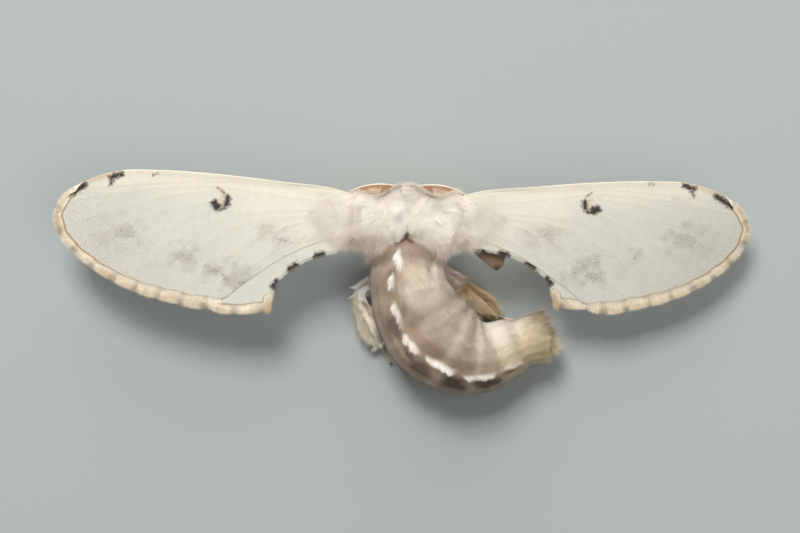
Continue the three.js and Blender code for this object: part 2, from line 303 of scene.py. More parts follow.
def mesh_object(name: str, points: Rows, faces: list, material: Material | None = None) -> Object:
    """A smooth-shaded object from points in metres.

    Args:
        name: The object's name.
        points: Its vertices, one row each.
        faces: Its faces, as vertex numbers.
        material: The finish of a closed piece, whose faces are then turned outwards.

    Returns:
        The object.
    """
    mesh = bpy.data.meshes.new(name)
    mesh.from_pydata(points.tolist(), [], faces)
    mesh.polygons.foreach_set("use_smooth", np.ones(len(mesh.polygons), bool))
    mesh.update()
    if material:
        shape = bmesh.new()
        shape.from_mesh(mesh)
        bmesh.ops.recalc_face_normals(shape, faces=shape.faces)
        shape.to_mesh(mesh)
        shape.free()
        mesh.materials.append(material)
    return new_object(name, mesh)


def lay_out(mesh: Mesh, name: str, chart: Rows) -> None:
    """Makes a UV map from a row of two for each vertex."""
    corner = np.empty(len(mesh.loops), np.int32)
    mesh.loops.foreach_get("vertex_index", corner)
    layer = mesh.uv_layers.new(name=name)
    layer.data.foreach_set("uv", chart[corner].astype(np.float32).ravel())


def tube_points(line: Rows, radius: Rows, first: Rows, second: Rows, sides: int) -> Rows:
    """The vertices of a tube, ring by ring.

    Args:
        line: Its middle line, one row for each ring.
        radius: Its radius at each ring.
        first: The direction of each ring's first vertex, or one direction for all rings.
        second: The direction a quarter of a turn further.
        sides: How many sides it has.

    Returns:
        One row for each vertex.
    """
    turn = np.linspace(0, 2 * np.pi, sides, endpoint=False)
    wide = radius[:, None, None]
    ring = wide * np.cos(turn)[None, :, None] * first[..., None, :]
    return (line[:, None] + ring + wide * np.sin(turn)[None, :, None] * second[..., None, :]).reshape(-1, 3)


def tube_faces(rings: int, sides: int, first: int = 0) -> list[list[int]]:
    """The faces of a tube with closed ends, whose vertices run ring by ring from the first."""
    faces = []
    for i in range(first, first + (rings - 1) * sides, sides):
        for k in range(sides):
            after = (k + 1) % sides
            faces.append([i + k, i + after, i + sides + after, i + sides + k])
    last = first + (rings - 1) * sides
    return faces + [list(range(first, first + sides)), list(range(last + sides - 1, last - 1, -1))]


def settle(piece: Object, slot: str, *nodes: str) -> None:
    """Makes a finished piece part of the moth.

    Args:
        piece: The piece.
        slot: A material slot's name from the record; it is not used.
        nodes: The solid model's nodes that it stands for.
    """
    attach(piece, BODY)
    if nodes:
        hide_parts(*nodes)
    log.info("%s: %d triangles", piece.name, sum(len(p.vertices) - 2 for p in piece.data.polygons))


def unwrap(piece: Object) -> None:
    """Lays a piece's own surface out flat on the bake map."""
    piece.data.uv_layers.new(name=UV_NAME)
    bpy.ops.object.select_all(action="DESELECT")
    piece.select_set(True)
    bpy.context.view_layer.objects.active = piece
    bpy.ops.object.mode_set(mode="EDIT")
    bpy.ops.mesh.select_all(action="SELECT")
    bpy.ops.uv.smart_project(angle_limit=math.radians(66), island_margin=0.002)
    bpy.ops.object.mode_set(mode="OBJECT")


@dataclass
class BodyFrame:
    """Where the body's own frame stands in the part's frame."""

    midline: float = 0.0
    middle: float = 0.0

    def __post_init__(self) -> None:
        """Reads the frame's place off the solid model."""
        low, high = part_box("thorax")
        self.midline = (low.x + high.x) / 2 / MM
        self.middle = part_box("collar")[0].y / MM - COLLAR_FRONT

    def out(self, points: Rows) -> Rows:
        """Rows in the body's frame and millimetres, as rows in the part's frame and metres."""
        return (points + np.array([self.midline, self.middle, 0.0])) * MM

    def into(self, points: Rows) -> Rows:
        """Rows in the part's frame and metres, as rows in the body's frame and millimetres."""
        return points / MM - np.array([self.midline, self.middle, 0.0])


# ---------------------------------------------------------------- finishes


@dataclass(frozen=True)
class Finish:
    """What a surface is made of. Each kind of finish says what feeds the inputs of its surface shader."""

    name: str

    def material(self) -> Material:
        """Builds the material."""
        material = bpy.data.materials.new(self.name)
        material.use_nodes = True
        material.node_tree.nodes.clear()
        add = partial(add_node, material.node_tree)
        place = add("ShaderNodeTexCoord").outputs["Object"]
        shader = add("ShaderNodeBsdfPrincipled", self.inputs(add, place))
        add("ShaderNodeOutputMaterial", {"Surface": shader})
        return material

    def inputs(self, add: NodeAdder, place: NodeSocket) -> dict[str, object]:
        """The surface shader's inputs.

        Args:
            add: Adds a node to the material.
            place: The place on the object.

        Returns:
            For each input by name, its value or what feeds it.
        """
        raise NotImplementedError


@dataclass(frozen=True)
class HairFinish(Finish):
    """Insect hair and hair-like scales: hollow chitin bristles, matt, with a soft silky glint.

    A strand takes its root's "tint". It is a little darker at its root, where less light gets in, and
    neighbours differ in tone.
    """

    roughness: float = 0.6
    sheen: float = 0.2
    root_shade: float = 0.8
    mottle: float = 0.1
    mottle_size: float = 0.5
    tip_colour: str = "#5f4c3c"

    def inputs(self, add: NodeAdder, place: NodeSocket) -> dict[str, object]:
        """The surface shader's inputs."""
        clouds = {"Vector": place, "Scale": 1 / (self.mottle_size * MM), "Detail": 3.0}
        cloud = add("ShaderNodeTexNoise", clouds)
        tone = add("ShaderNodeMapRange", (cloud, 0.3, 0.7, 1 - self.mottle, 1 + self.mottle))
        kinds = ("tip", "tone", "patch")
        held = (add("ShaderNodeAttribute", attribute_name=kind) for kind in kinds)
        tip, own_tone, patch = (node.outputs["Fac"] for node in held)
        depth = add("ShaderNodeMapRange", (tip, 0.0, 0.6, self.root_shade, 1.0))
        light = add("ShaderNodeMath", (tone, depth), operation="MULTIPLY")
        light = add("ShaderNodeMath", (light, own_tone), operation="MULTIPLY")
        tint = add("ShaderNodeAttribute", attribute_name="tint")
        toned = add("ShaderNodeVectorMath", {0: tint, "Scale": light}, operation="SCALE")
        dark_tip = add("ShaderNodeMath", (tip, patch), operation="MULTIPLY")
        links = {"Factor": dark_tip, "A": toned, "B": self.tip_colour}
        return {
            "Base Color": add("ShaderNodeMix", links, data_type="RGBA"),
            "Roughness": self.roughness,
            "IOR": 1.55,
            "Sheen Weight": self.sheen,
            "Sheen Roughness": 0.4,
        }


@dataclass(frozen=True)
class DownFinish(Finish):
    """The skin under the coat: short flat down, whose streaks follow the lie of the hair."""

    name: str = "short flat down"
    streak: float = 0.07
    tone: float = 0.88
    contrast: float = 0.1
    depth: float = 0.05  # of its relief

    def inputs(self, add: NodeAdder, place: NodeSocket) -> dict[str, object]:
        """The surface shader's inputs."""
        grain = add("ShaderNodeAttribute", attribute_name="grain").outputs["Vector"]
        streaks = add("ShaderNodeTexNoise", {"Vector": grain, "Scale": 1 / self.streak, "Detail": 2.0})
        dark, light = self.tone - self.contrast, self.tone + self.contrast
        tone = add("ShaderNodeMapRange", (streaks, 0.3, 0.7, dark, light))
        tint = add("ShaderNodeAttribute", attribute_name="tint")
        relief = {"Height": streaks, "Strength": 0.7, "Distance": self.depth * MM}
        return {
            "Base Color": add("ShaderNodeVectorMath", {0: tint, "Scale": tone}, operation="SCALE"),
            "Roughness": 0.75,
            "IOR": 1.5,
            "Sheen Weight": 0.2,
            "Sheen Roughness": 0.4,
            "Normal": add("ShaderNodeBump", relief),
        }


@dataclass(frozen=True)
class WingFinish(Finish):
    """Wing membrane under overlapping scales: dry satin white, with single dark scales as fine grain.

    The mesh holds how far each place is from a dark mark, from the brown line and from the ochre edge. Noise
    at the size of a few scales makes their outlines ragged.
    """

    name: str = "scaled wing membrane"
    scale_length: float = 0.16
    grain_size: float = 0.075
    depth: float = 0.02
    ink: str = "#23170e"
    line: str = "#9c743c"
    ochre: str = "#cfa463"
    dark_scale: str = "#8b8072"

    def inputs(self, add: NodeAdder, place: NodeSocket) -> dict[str, object]:
        """The surface shader's inputs."""
        chart = add("ShaderNodeUVMap", uv_map="chart")
        kinds = ("speckle", "ochre", "line", "ink")
        held = {kind: add("ShaderNodeAttribute", attribute_name=kind).outputs["Fac"] for kind in kinds}
        noises = {}
        for name, size, detail in (
            ("grain", self.grain_size, 2.0),
            ("cloud", 0.5, 4.0),
            ("ragged", 1.3 * self.scale_length, 4.0),
        ):
            noises[name] = add("ShaderNodeTexNoise", {"Vector": chart, "Scale": 1 / size, "Detail": detail})
        dark = add("ShaderNodeMapRange", (noises["grain"], 0.47, 0.66, 0.0, 1.0))
        dark = add("ShaderNodeMath", (dark, held["speckle"]), operation="MULTIPLY")
        tone = add("ShaderNodeMapRange", (noises["cloud"], 0.3, 0.7, 0.97, 1.03))
        tint = add("ShaderNodeAttribute", attribute_name="tint")
        links = {"Factor": dark, "A": tint, "B": self.dark_scale}
        colour = add("ShaderNodeMix", links, data_type="RGBA")
        colour = add("ShaderNodeVectorMath", {0: colour, "Scale": tone}, operation="SCALE")
        ragged = add("ShaderNodeMath", (noises["ragged"], 0.5), operation="SUBTRACT")
        for name, shown, wobble, softness, strength in (
            ("ochre", self.ochre, 0.5, 0.14, 0.6),
            ("line", self.line, 0.08, 0.04, 0.85),
            ("ink", self.ink, 0.5, 0.13, 0.96),
        ):
            distance = add("ShaderNodeMath", (ragged, wobble, held[name]), operation="MULTIPLY_ADD")
            share = add("ShaderNodeMapRange", (distance, softness, -softness, 0.0, strength))
            colour = add("ShaderNodeMix", {"Factor": share, "A": colour, "B": shown}, data_type="RGBA")
        cells = {"Vector": chart, "Scale": 1 / self.scale_length, "Randomness": 0.8}
        relief = {"Height": add("ShaderNodeTexVoronoi", cells), "Strength": 0.3, "Distance": self.depth * MM}
        return {
            "Base Color": colour,
            "Roughness": 0.56,
            "IOR": 1.56,
            "Specular IOR Level": 0.3,
            "Sheen Weight": 0.05,
            "Sheen Roughness": 0.4,
            "Subsurface Weight": 0.25,
            "Subsurface Radius": (0.3, 0.25, 0.2),
            "Subsurface Scale": 0.5 * MM,
            "Normal": add("ShaderNodeBump", relief),
        }


@dataclass(frozen=True)
class EyeFinish(Finish):
    """A compound eye: thousands of tiny corneal lenses, so a dark wet gloss with a fine grain."""

    name: str = "compound eye cornea"
    colour: str = "#17100d"
    rim: str = "#3d2a20"
    facet: float = 0.04
    depth: float = 0.01

    def inputs(self, add: NodeAdder, place: NodeSocket) -> dict[str, object]:
        """The surface shader's inputs."""
        facets = {"Vector": place, "Scale": 1 / (self.facet * MM), "Randomness": 0.2}
        lenses = add("ShaderNodeTexVoronoi", facets)
        links = {"Factor": lenses, "A": self.colour, "B": self.rim}
        relief = {"Height": lenses, "Strength": 0.4, "Distance": self.depth * MM}
        return {
            "Base Color": add("ShaderNodeMix", links, data_type="RGBA"),
            "Roughness": 0.2,
            "IOR": 1.5,
            "Coat Weight": 0.4,
            "Coat Roughness": 0.1,
            "Normal": add("ShaderNodeBump", relief),
        }


@dataclass(frozen=True)
class ChitinFinish(Finish):
    """Bare sclerotised chitin, as on feet, claws and combs: hard, slightly waxy and unevenly browned."""

    colour: str
    dark: str
    roughness: float = 0.42
    mottle_size: float = 0.25
    depth: float = 0.02

    def inputs(self, add: NodeAdder, place: NodeSocket) -> dict[str, object]:
        """The surface shader's inputs."""
        clouds = {"Vector": place, "Scale": 1 / (self.mottle_size * MM), "Detail": 4.0}
        cloud = add("ShaderNodeTexNoise", clouds)
        share = add("ShaderNodeMapRange", (cloud, 0.3, 0.7, 0.0, 1.0))
        links = {"Factor": share, "A": self.colour, "B": self.dark}
        relief = {"Height": cloud, "Strength": 0.3, "Distance": self.depth * MM}
        return {
            "Base Color": add("ShaderNodeMix", links, data_type="RGBA"),
            "Roughness": self.roughness,
            "IOR": 1.56,
            "Normal": add("ShaderNodeBump", relief),
        }


# ---------------------------------------------------------------- the coat


@dataclass
class Coat:
    """Grows strands of hair over a surface with a tree of geometry nodes.

    The surface's vertices hold how thickly it is covered ("coat_density", strands per square millimetre), how
    long the strands are ("coat_length", millimetres), which way they lie ("coat_lie"), how steeply they stand
    ("coat_stand", radians) and their colour ("tint").
    """

    name: str
    width: float = 0.045
    flatness: float = 0.5
    joints: int = 2
    bend: float = 0.1
    tousle: float = 0.1
    clump: float = 0.2
    clump_size: float = 0.45
    tone: float = 0.1
    uneven: float = 0.25
    seed: int = SEED

    def _socket(self, tree: NodeTree, label: str, kind: str) -> str:
        """Adds an input to the tree and returns its identifier."""
        return tree.interface.new_socket(label, in_out="INPUT", socket_type=f"NodeSocket{kind}").identifier

    def tree(self) -> tuple[NodeTree, dict[str, object]]:
        """Builds the tree of nodes.

        Returns:
            The tree, and a value for each of its inputs by identifier.
        """
        tree = bpy.data.node_groups.new(self.name, "GeometryNodeTree")
        self._socket(tree, "Surface", "Geometry")
        settings = {
            "Strand Width": self.width * MM,
            "Strand Thickness": self.width * self.flatness * MM,
            "Bend": self.bend / (self.width * self.flatness),
            "Tousle": self.tousle,
            "Clump": self.clump * 2,
            "Clump Scale": 1 / (self.clump_size * MM),
            "Tone": self.tone,
        }
        values = {self._socket(tree, label, "Float"): value for label, value in settings.items()}
        values[self._socket(tree, "Seed", "Int")] = self.seed
        self.material_input = self._socket(tree, "Material", "Material")
        tree.interface.new_socket("Strands", in_out="OUTPUT", socket_type="NodeSocketGeometry")
        add = partial(add_node, tree)
        given = add("NodeGroupInput").outputs
        density, length = (
            add("GeometryNodeInputNamedAttribute", {"Name": name}, data_type="FLOAT")
            for name in ("coat_density", "coat_length")
        )
        density = add("ShaderNodeMath", (density, 1 / MM**2), operation="MULTIPLY")
        scatter = {"Mesh": given["Surface"], "Density": density, "Seed": given["Seed"]}
        roots = add("GeometryNodeDistributePointsOnFaces", scatter).outputs
        darkest = add("ShaderNodeMath", (1.0, given["Tone"]), operation="SUBTRACT")
        brightest = add("ShaderNodeMath", (given["Tone"], 1.0), operation="ADD")
        shortest, longest = (0.9 - self.uneven) * MM, (0.9 + self.uneven) * MM
        tone, luck = (
            add("FunctionNodeRandomValue", {2: least, 3: most, "Seed": given["Seed"]}, data_type="FLOAT")
            for least, most in ((darkest, brightest), (shortest, longest))
        )
        kept = {"Geometry": roots["Points"], "Name": "tone", "Value": tone}
        inwards = add("ShaderNodeVectorMath", {0: roots["Normal"], "Scale": -1.0}, operation="SCALE")
        axes = {"Primary Axis": self._direction(add, given, roots["Normal"]), "Secondary Axis": inwards}
        sizes = (
            given["Strand Thickness"],
            given["Strand Width"],
            add("ShaderNodeMath", (length, luck), operation="MULTIPLY"),
        )
        scattered = {
            "Points": add("GeometryNodeStoreNamedAttribute", kept, data_type="FLOAT", domain="POINT"),
            "Instance": self._strand(add, given["Bend"]),
            "Rotation": add("FunctionNodeAxesToRotation", axes, primary_axis="Z", secondary_axis="X"),
            "Scale": add("ShaderNodeCombineXYZ", sizes),
        }
        strands = add("GeometryNodeInstanceOnPoints", scattered)
        solid = add("GeometryNodeRealizeInstances", {"Geometry": strands})
        crisp = add("GeometryNodeSetShadeSmooth", {"Geometry": solid, "Shade Smooth": False})
        dressed = add("GeometryNodeSetMaterial", {"Geometry": crisp, "Material": given["Material"]})
        add("NodeGroupOutput", {"Strands": dressed})
        return tree, values

    def _direction(self, add: NodeAdder, given: NodeOutputs, normal: NodeSocket) -> Node:
        """Adds the nodes that say which way each strand points.

        Args:
            add: Adds a node to the tree.
            given: The tree's inputs.
            normal: The surface's normal at each root.

        Returns:
            The node that gives the direction.
        """
        place = add("GeometryNodeInputPosition")
        locks = {"Vector": place, "Scale": given["Clump Scale"], "Detail": 1.0}
        leaning = add("ShaderNodeTexNoise", locks).outputs["Color"]
        leaning = add("ShaderNodeVectorMath", (leaning, (0.5, 0.5, 0.5)), operation="SUBTRACT")
        leaning = add("ShaderNodeVectorMath", {0: leaning, "Scale": given["Clump"]}, operation="SCALE")
        span = {"Min": (-1.0, -1.0, -1.0), "Max": (1.0, 1.0, 1.0), "Seed": given["Seed"]}
        stray = add("FunctionNodeRandomValue", span, data_type="FLOAT_VECTOR")
        stray = add("ShaderNodeVectorMath", {0: stray, "Scale": given["Tousle"]}, operation="SCALE")
        lie = add("GeometryNodeInputNamedAttribute", {"Name": "coat_lie"}, data_type="FLOAT_VECTOR")
        lie = add("ShaderNodeVectorMath", (lie, leaning), operation="ADD")
        lie = add("ShaderNodeVectorMath", (lie, stray), operation="ADD")
        stand = add("GeometryNodeInputNamedAttribute", {"Name": "coat_stand"}, data_type="FLOAT")
        parts = []
        for way, operation in ((lie, "COSINE"), (normal, "SINE")):
            share = add("ShaderNodeMath", (stand,), operation=operation)
            parts.append(add("ShaderNodeVectorMath", {0: way, "Scale": share}, operation="SCALE"))
        whole = add("ShaderNodeVectorMath", tuple(parts), operation="ADD")
        return add("ShaderNodeVectorMath", (whole,), operation="NORMALIZE")

    def _strand(self, add: NodeAdder, bend: NodeSocket) -> Node:
        """Adds the nodes for one strand: a closed three-sided blade, one unit long, that bends to the skin.

        Its flat side faces away from the skin and its keel towards it.

        Args:
            add: Adds a node to the tree.
            bend: How far its tip drops.

        Returns:
            The node that gives the strand.
        """
        sizes = {"Vertices": 3, "Side Segments": self.joints, "Radius Top": 0.0, "Radius Bottom": 0.5}
        sizes["Depth"] = 1.0
        blade = add("GeometryNodeMeshCone", sizes, fill_type="NGON")
        place = add("GeometryNodeInputPosition")
        parts = add("ShaderNodeSeparateXYZ", (place,)).outputs
        for name, value in (("tip", parts["Z"]), ("across", parts["Y"])):
            kept = {"Geometry": blade, "Name": name, "Value": value}
            blade = add("GeometryNodeStoreNamedAttribute", kept, data_type="FLOAT", domain="POINT")
        drop = add("ShaderNodeMath", (parts["Z"], 2.0), operation="POWER")
        drop = add("ShaderNodeMath", (drop, bend), operation="MULTIPLY")
        offset = add("ShaderNodeCombineXYZ", (drop,))
        return add("GeometryNodeSetPosition", {"Geometry": blade, "Offset": offset})

    def grow(self, piece_name: str, surface: Object, material: Material) -> Object:
        """Grows the coat over a surface and makes it a plain mesh.

        Args:
            piece_name: The new piece's name.
            surface: The object whose mesh it grows on.
            material: The strands' finish.

        Returns:
            The new piece, one joined mesh with a bake map.
        """
        holder = new_object(piece_name, surface.data)
        modifier = holder.modifiers.new("coat", "NODES")
        modifier.node_group, values = self.tree()
        for identifier, value in values.items():
            modifier[identifier] = value
        modifier[self.material_input] = material
        bpy.context.view_layer.update()
        evaluated = holder.evaluated_get(bpy.context.evaluated_depsgraph_get())
        grown = bpy.data.meshes.new_from_object(evaluated)
        holder.modifiers.remove(modifier)
        holder.data = grown
        grown.name = piece_name
        self._lay_out(grown)
        points = positions(grown)
        bent = CROWN + BENT_SHARE * np.maximum(points[:, 2] - CROWN, 0)
        points[:, 2] = np.clip(points[:, 2], FLOOR_GAP, bent)
        move_vertices(grown, points)
        return holder

    def _lay_out(self, mesh: Mesh) -> None:
        """Gives each strand a small patch of the bake map, at its root's place on the skin."""
        count = len(mesh.vertices)
        root, across, tip = (np.empty(count * width, np.float32) for width in (2, 1, 1))
        mesh.attributes[UV_NAME].data.foreach_get("vector", root)
        mesh.attributes["across"].data.foreach_get("value", across)
        mesh.attributes["tip"].data.foreach_get("value", tip)
        spot = root.reshape(-1, 2) + np.stack([across, tip - 0.5], axis=1) * TUFT_PATCH
        for name in (UV_NAME, "across"):
            mesh.attributes.remove(mesh.attributes[name])
        lay_out(mesh, UV_NAME, np.clip(spot, 0, 1))


# ---------------------------------------------------------------- the abdomen's own lines


@dataclass
class AbdomenLine:
    """The abdomen's axis, from the waist to the tail.

    Each station is its distance to the moth's right, back and up, and the roll of the abdomen's back towards
    the outside of the curl in degrees.
    """

    stations: tuple = (
        (0.05, 1.2, 4.4, 8), (0.1, 3.1, 4.2, 12), (0.2, 4.9, 3.85, 19), (0.75, 6.6, 3.4, 27),
        (1.9, 8.35, 3.12, 33), (3.8, 9.6, 2.98, 36), (5.6, 9.87, 2.65, 37), (7.2, 9.4, 2.3, 38),
        (8.8, 8.8, 2.22, 38), (10.6, 8.5, 2.22, 38),
    )
    samples: int = 240

    def __post_init__(self) -> None:
        """Works out the sampled axis."""
        points = np.array([(-side, back, height) for side, back, height, _ in self.stations])
        at = np.linspace(0, 1, self.samples)
        self.centres = smooth_curve(points, at)
        self.forward = unit(np.gradient(self.centres, axis=0))
        steps = np.linalg.norm(np.diff(self.centres, axis=0), axis=1)
        self.distance = np.concatenate([[0], np.cumsum(steps)])
        rolls = np.array([roll for *_, roll in self.stations], float)
        self.roll = np.radians(np.interp(at, np.linspace(0, 1, len(rolls)), rolls))

    @property
    def length(self) -> float:
        """How long the axis is."""
        return float(self.distance[-1])

    def read(self, points: Rows) -> tuple[Rows, Rows, Rows, Rows]:
        """Says where points lie on the abdomen.

        Args:
            points: Rows in the body's frame.

        Returns:
            The distance along the axis, the angle round it from the middle of the back (positive towards the
            outside of the curl), the distance from the axis, and the axis's direction.
        """
        nearest = np.empty(len(points), int)
        for start in range(0, len(points), 20000):
            chunk = points[start : start + 20000]
            gaps = ((chunk[:, None, :] - self.centres[None]) ** 2).sum(2)
            nearest[start : start + 20000] = gaps.argmin(1)
        forward = self.forward[nearest]
        up = unit(np.array([0, 0, 1.0]) - forward * forward[:, 2:3])
        outside = np.cross(forward, up)
        away = points - self.centres[nearest]
        along = self.distance[nearest] + (away * forward).sum(1)
        angle = np.arctan2((away * outside).sum(1), (away * up).sum(1)) - self.roll[nearest]
        radius = np.hypot((away * outside).sum(1), (away * up).sum(1))
        return along, angle, radius, forward


# ---------------------------------------------------------------- the body


@dataclass(frozen=True)
class CoatRule:
    """How the coat grows on one part of the body."""

    depth: float  # how far the skin lies inside the solid
    density: float
    length: float
    stand: float  # degrees
    colour: str


RULES = {
    "thorax": CoatRule(0.5, 1350, 0.95, 17, "#f1eadc"),
    "collar": CoatRule(0.4, 1350, 0.85, 13, "#f7f0e4"),
    "tegula": CoatRule(0.45, 1350, 1.15, 11, "#f8f1e4"),
    "head": CoatRule(0.2, 1000, 0.6, 12, "#fbf6ec"),
    "eye": CoatRule(0.5, 0, 0.25, 14, "#ece4d7"),
    "palp": CoatRule(0.14, 1000, 0.3, 20, "#e8e0d3"),
    "abdomen": CoatRule(0.24, 560, 0.6, 10, "#b29d88"),
    "tail": CoatRule(0.6, 480, 1.0, 15, "#c0a47e"),
    "coxa": CoatRule(0.16, 480, 0.45, 24, "#e0d8ca"),
    "femur": CoatRule(0.26, 760, 0.7, 34, "#e6ddce"),
    "tibia": CoatRule(0.2, 640, 0.42, 22, "#d5c9b4"),
    "hind_tibia": CoatRule(0.32, 900, 1.1, 40, "#ebe2cd"),
}
LEG_PAIRS = ("fore", "mid", "hind")
LEG_PIECES = ("coxa", "femur", "tibia", "tarsus")
LEG_KINDS = ("coxa", "femur", "tibia", "hind_tibia")
LEG_COLOURS = {"hind_femur_left": "#fbf8f2", "hind_femur_right": "#f5e4d6", "hind_tibia_right": "#bfa582"}
CHEST_KINDS = ("thorax", "tegula", "collar")
PARTING = (-0.6, 4.4)  # how far back and how high the line is that the chest's hair runs away from
# Where each hind leg's plume begins and ends, as (out, back, up).
PLUMES = {Side.LEFT: ((3.5, 5.6, 1.75), (1.85, 9.2, 0.6)), Side.RIGHT: ((3.8, 4.7, 1.9), (6.3, 7.1, 0.6))}


@dataclass(frozen=True)
class Spot:
    """A patch of the abdomen: its place along the axis and round it, its half sizes and its colour."""

    along: float
    round: float
    half_along: float
    half_round: float
    colour: str = "#f8f4ec"
    strength: float = 1.0

    def share(self, along: Rows, offset: Rows, ragged: Rows) -> Rows:
        """How much of each place belongs to the spot.

        Args:
            along: Distances along the abdomen.
            offset: Distances round it from the middle of the back.
            ragged: Noise that roughens the spot's outline.

        Returns:
            Shares from 0 to 1.
        """
        away = np.hypot((along - self.along) / self.half_along, (offset - self.round) / self.half_round)
        return self.strength * smooth(1.35, 0.55, away + 0.3 * ragged)


CREST = (
    Spot(1.35, 0.2, 0.34, 0.17, "#fbf6ee"),
    Spot(1.75, 0.05, 0.3, 0.13, "#f6efe4"),
    Spot(2.95, 0.42, 0.42, 0.15, "#f2eadd"),
    Spot(4.4, 0.34, 0.3, 0.17, "#f0e6d8"),
    Spot(4.9, 0.12, 0.45, 0.15, "#f0e7da"),
    Spot(5.7, 0.12, 0.1, 0.1, "#e6dacb"),
    Spot(6.6, 0.12, 0.3, 0.2, "#efe6d6"),
    Spot(7.15, -0.08, 0.4, 0.2, "#eadfce"),
    Spot(8.5, -0.3, 0.4, 0.12, "#e6dac8"),
    Spot(9.2, -0.38, 0.6, 0.2, "#f1e9dc"),
    Spot(10.7, -0.2, 0.5, 0.13, "#e6dac8"),
    Spot(11.4, -0.22, 0.6, 0.15, "#efe5d6"),
    Spot(13.1, -0.2, 0.9, 0.12, "#e5d4c2", 0.8),
)
# The brown band at 5.8 along on the inner side is painted shade.
# The dark brown patches just outside the crest, at 5.5 to 12.9 along, are partly painted shadow of its
# overhanging tufts.
PATCHES = (
    Spot(3.9, -1.7, 0.28, 1.3, "#8f7d70", 0.5),
    Spot(4.1, -3.7, 0.5, 0.5, "#968d86", 0.5),
    Spot(2.35, 0.5, 0.22, 0.3, "#6d5c43", 0.8),
    Spot(3.85, 0.3, 0.28, 0.45, "#8a7653", 0.7),
    Spot(2.12, 0.45, 0.06, 0.24, "#3f3028", 0.85),
    Spot(2.1, -2.0, 0.06, 0.34, "#3f3028", 0.85),
    Spot(3.6, 0.5, 0.05, 0.3, "#4a3a2e", 0.6),
    Spot(5.5, 0.8, 0.9, 0.5, "#75655a", 0.85),
    Spot(5.8, -0.9, 0.9, 0.7, "#8b7764", 0.75),
    Spot(0.5, -0.5, 1.0, 3.6, "#8d7966", 0.75),
    Spot(4.5, -0.1, 0.6, 0.65, "#86735f", 0.8),
    Spot(6.8, -2.3, 0.5, 1.0, "#96877a", 0.5),
    Spot(2.4, -3.2, 1.1, 0.9, "#eae0d3", 0.8),
    Spot(5.9, -2.2, 0.5, 1.0, "#8f8278", 0.4),
    Spot(6.1, -3.7, 0.6, 0.55, "#948b85", 0.5),
    Spot(8.4, -3.1, 0.8, 0.4, "#8d8178", 0.5),
    Spot(6.1, -0.2, 0.36, 0.36, "#a08a66", 0.75),
    Spot(7.4, 0.62, 0.5, 0.22, "#5b4b3e", 0.8),
    Spot(8.3, 0.85, 0.7, 0.5, "#5f5042", 0.85),
    Spot(8.2, -0.95, 0.9, 0.6, "#90795f", 0.7),
    Spot(10.2, -0.95, 0.9, 0.45, "#9a8468", 0.6),
    Spot(10.0, 0.62, 0.66, 0.62, "#544437", 0.92),
    Spot(11.5, 0.5, 0.66, 0.46, "#594839", 0.9),
    Spot(12.9, 0.3, 0.75, 0.2, "#6c5843", 0.85),
    Spot(9.15, 1.5, 0.3, 0.7, "#c2b2a4", 0.6),
    Spot(10.8, 1.1, 0.22, 0.8, "#c4b29f", 0.65),
)
SEGMENT_ENDS = (-0.5, 2.05, 3.7, 5.9, 8.0, 10.2, 12.2, 14.4, 17.2)
# The bare seam's parts: start, end and half width.
CRACK = (
    ((-0.07, 1.4), (-0.01, 1.72), 0.14), ((-0.01, 1.72), (-0.37, 1.97), 0.09),
    ((-0.37, 1.97), (-0.85, 2.05), 0.05), ((0.08, 1.82), (0.67, 2.12), 0.07),
)
SMOKE = ((0.62, -0.25, 0.34), (-0.02, -0.75, 0.4), (-1.65, -0.7, 0.26))


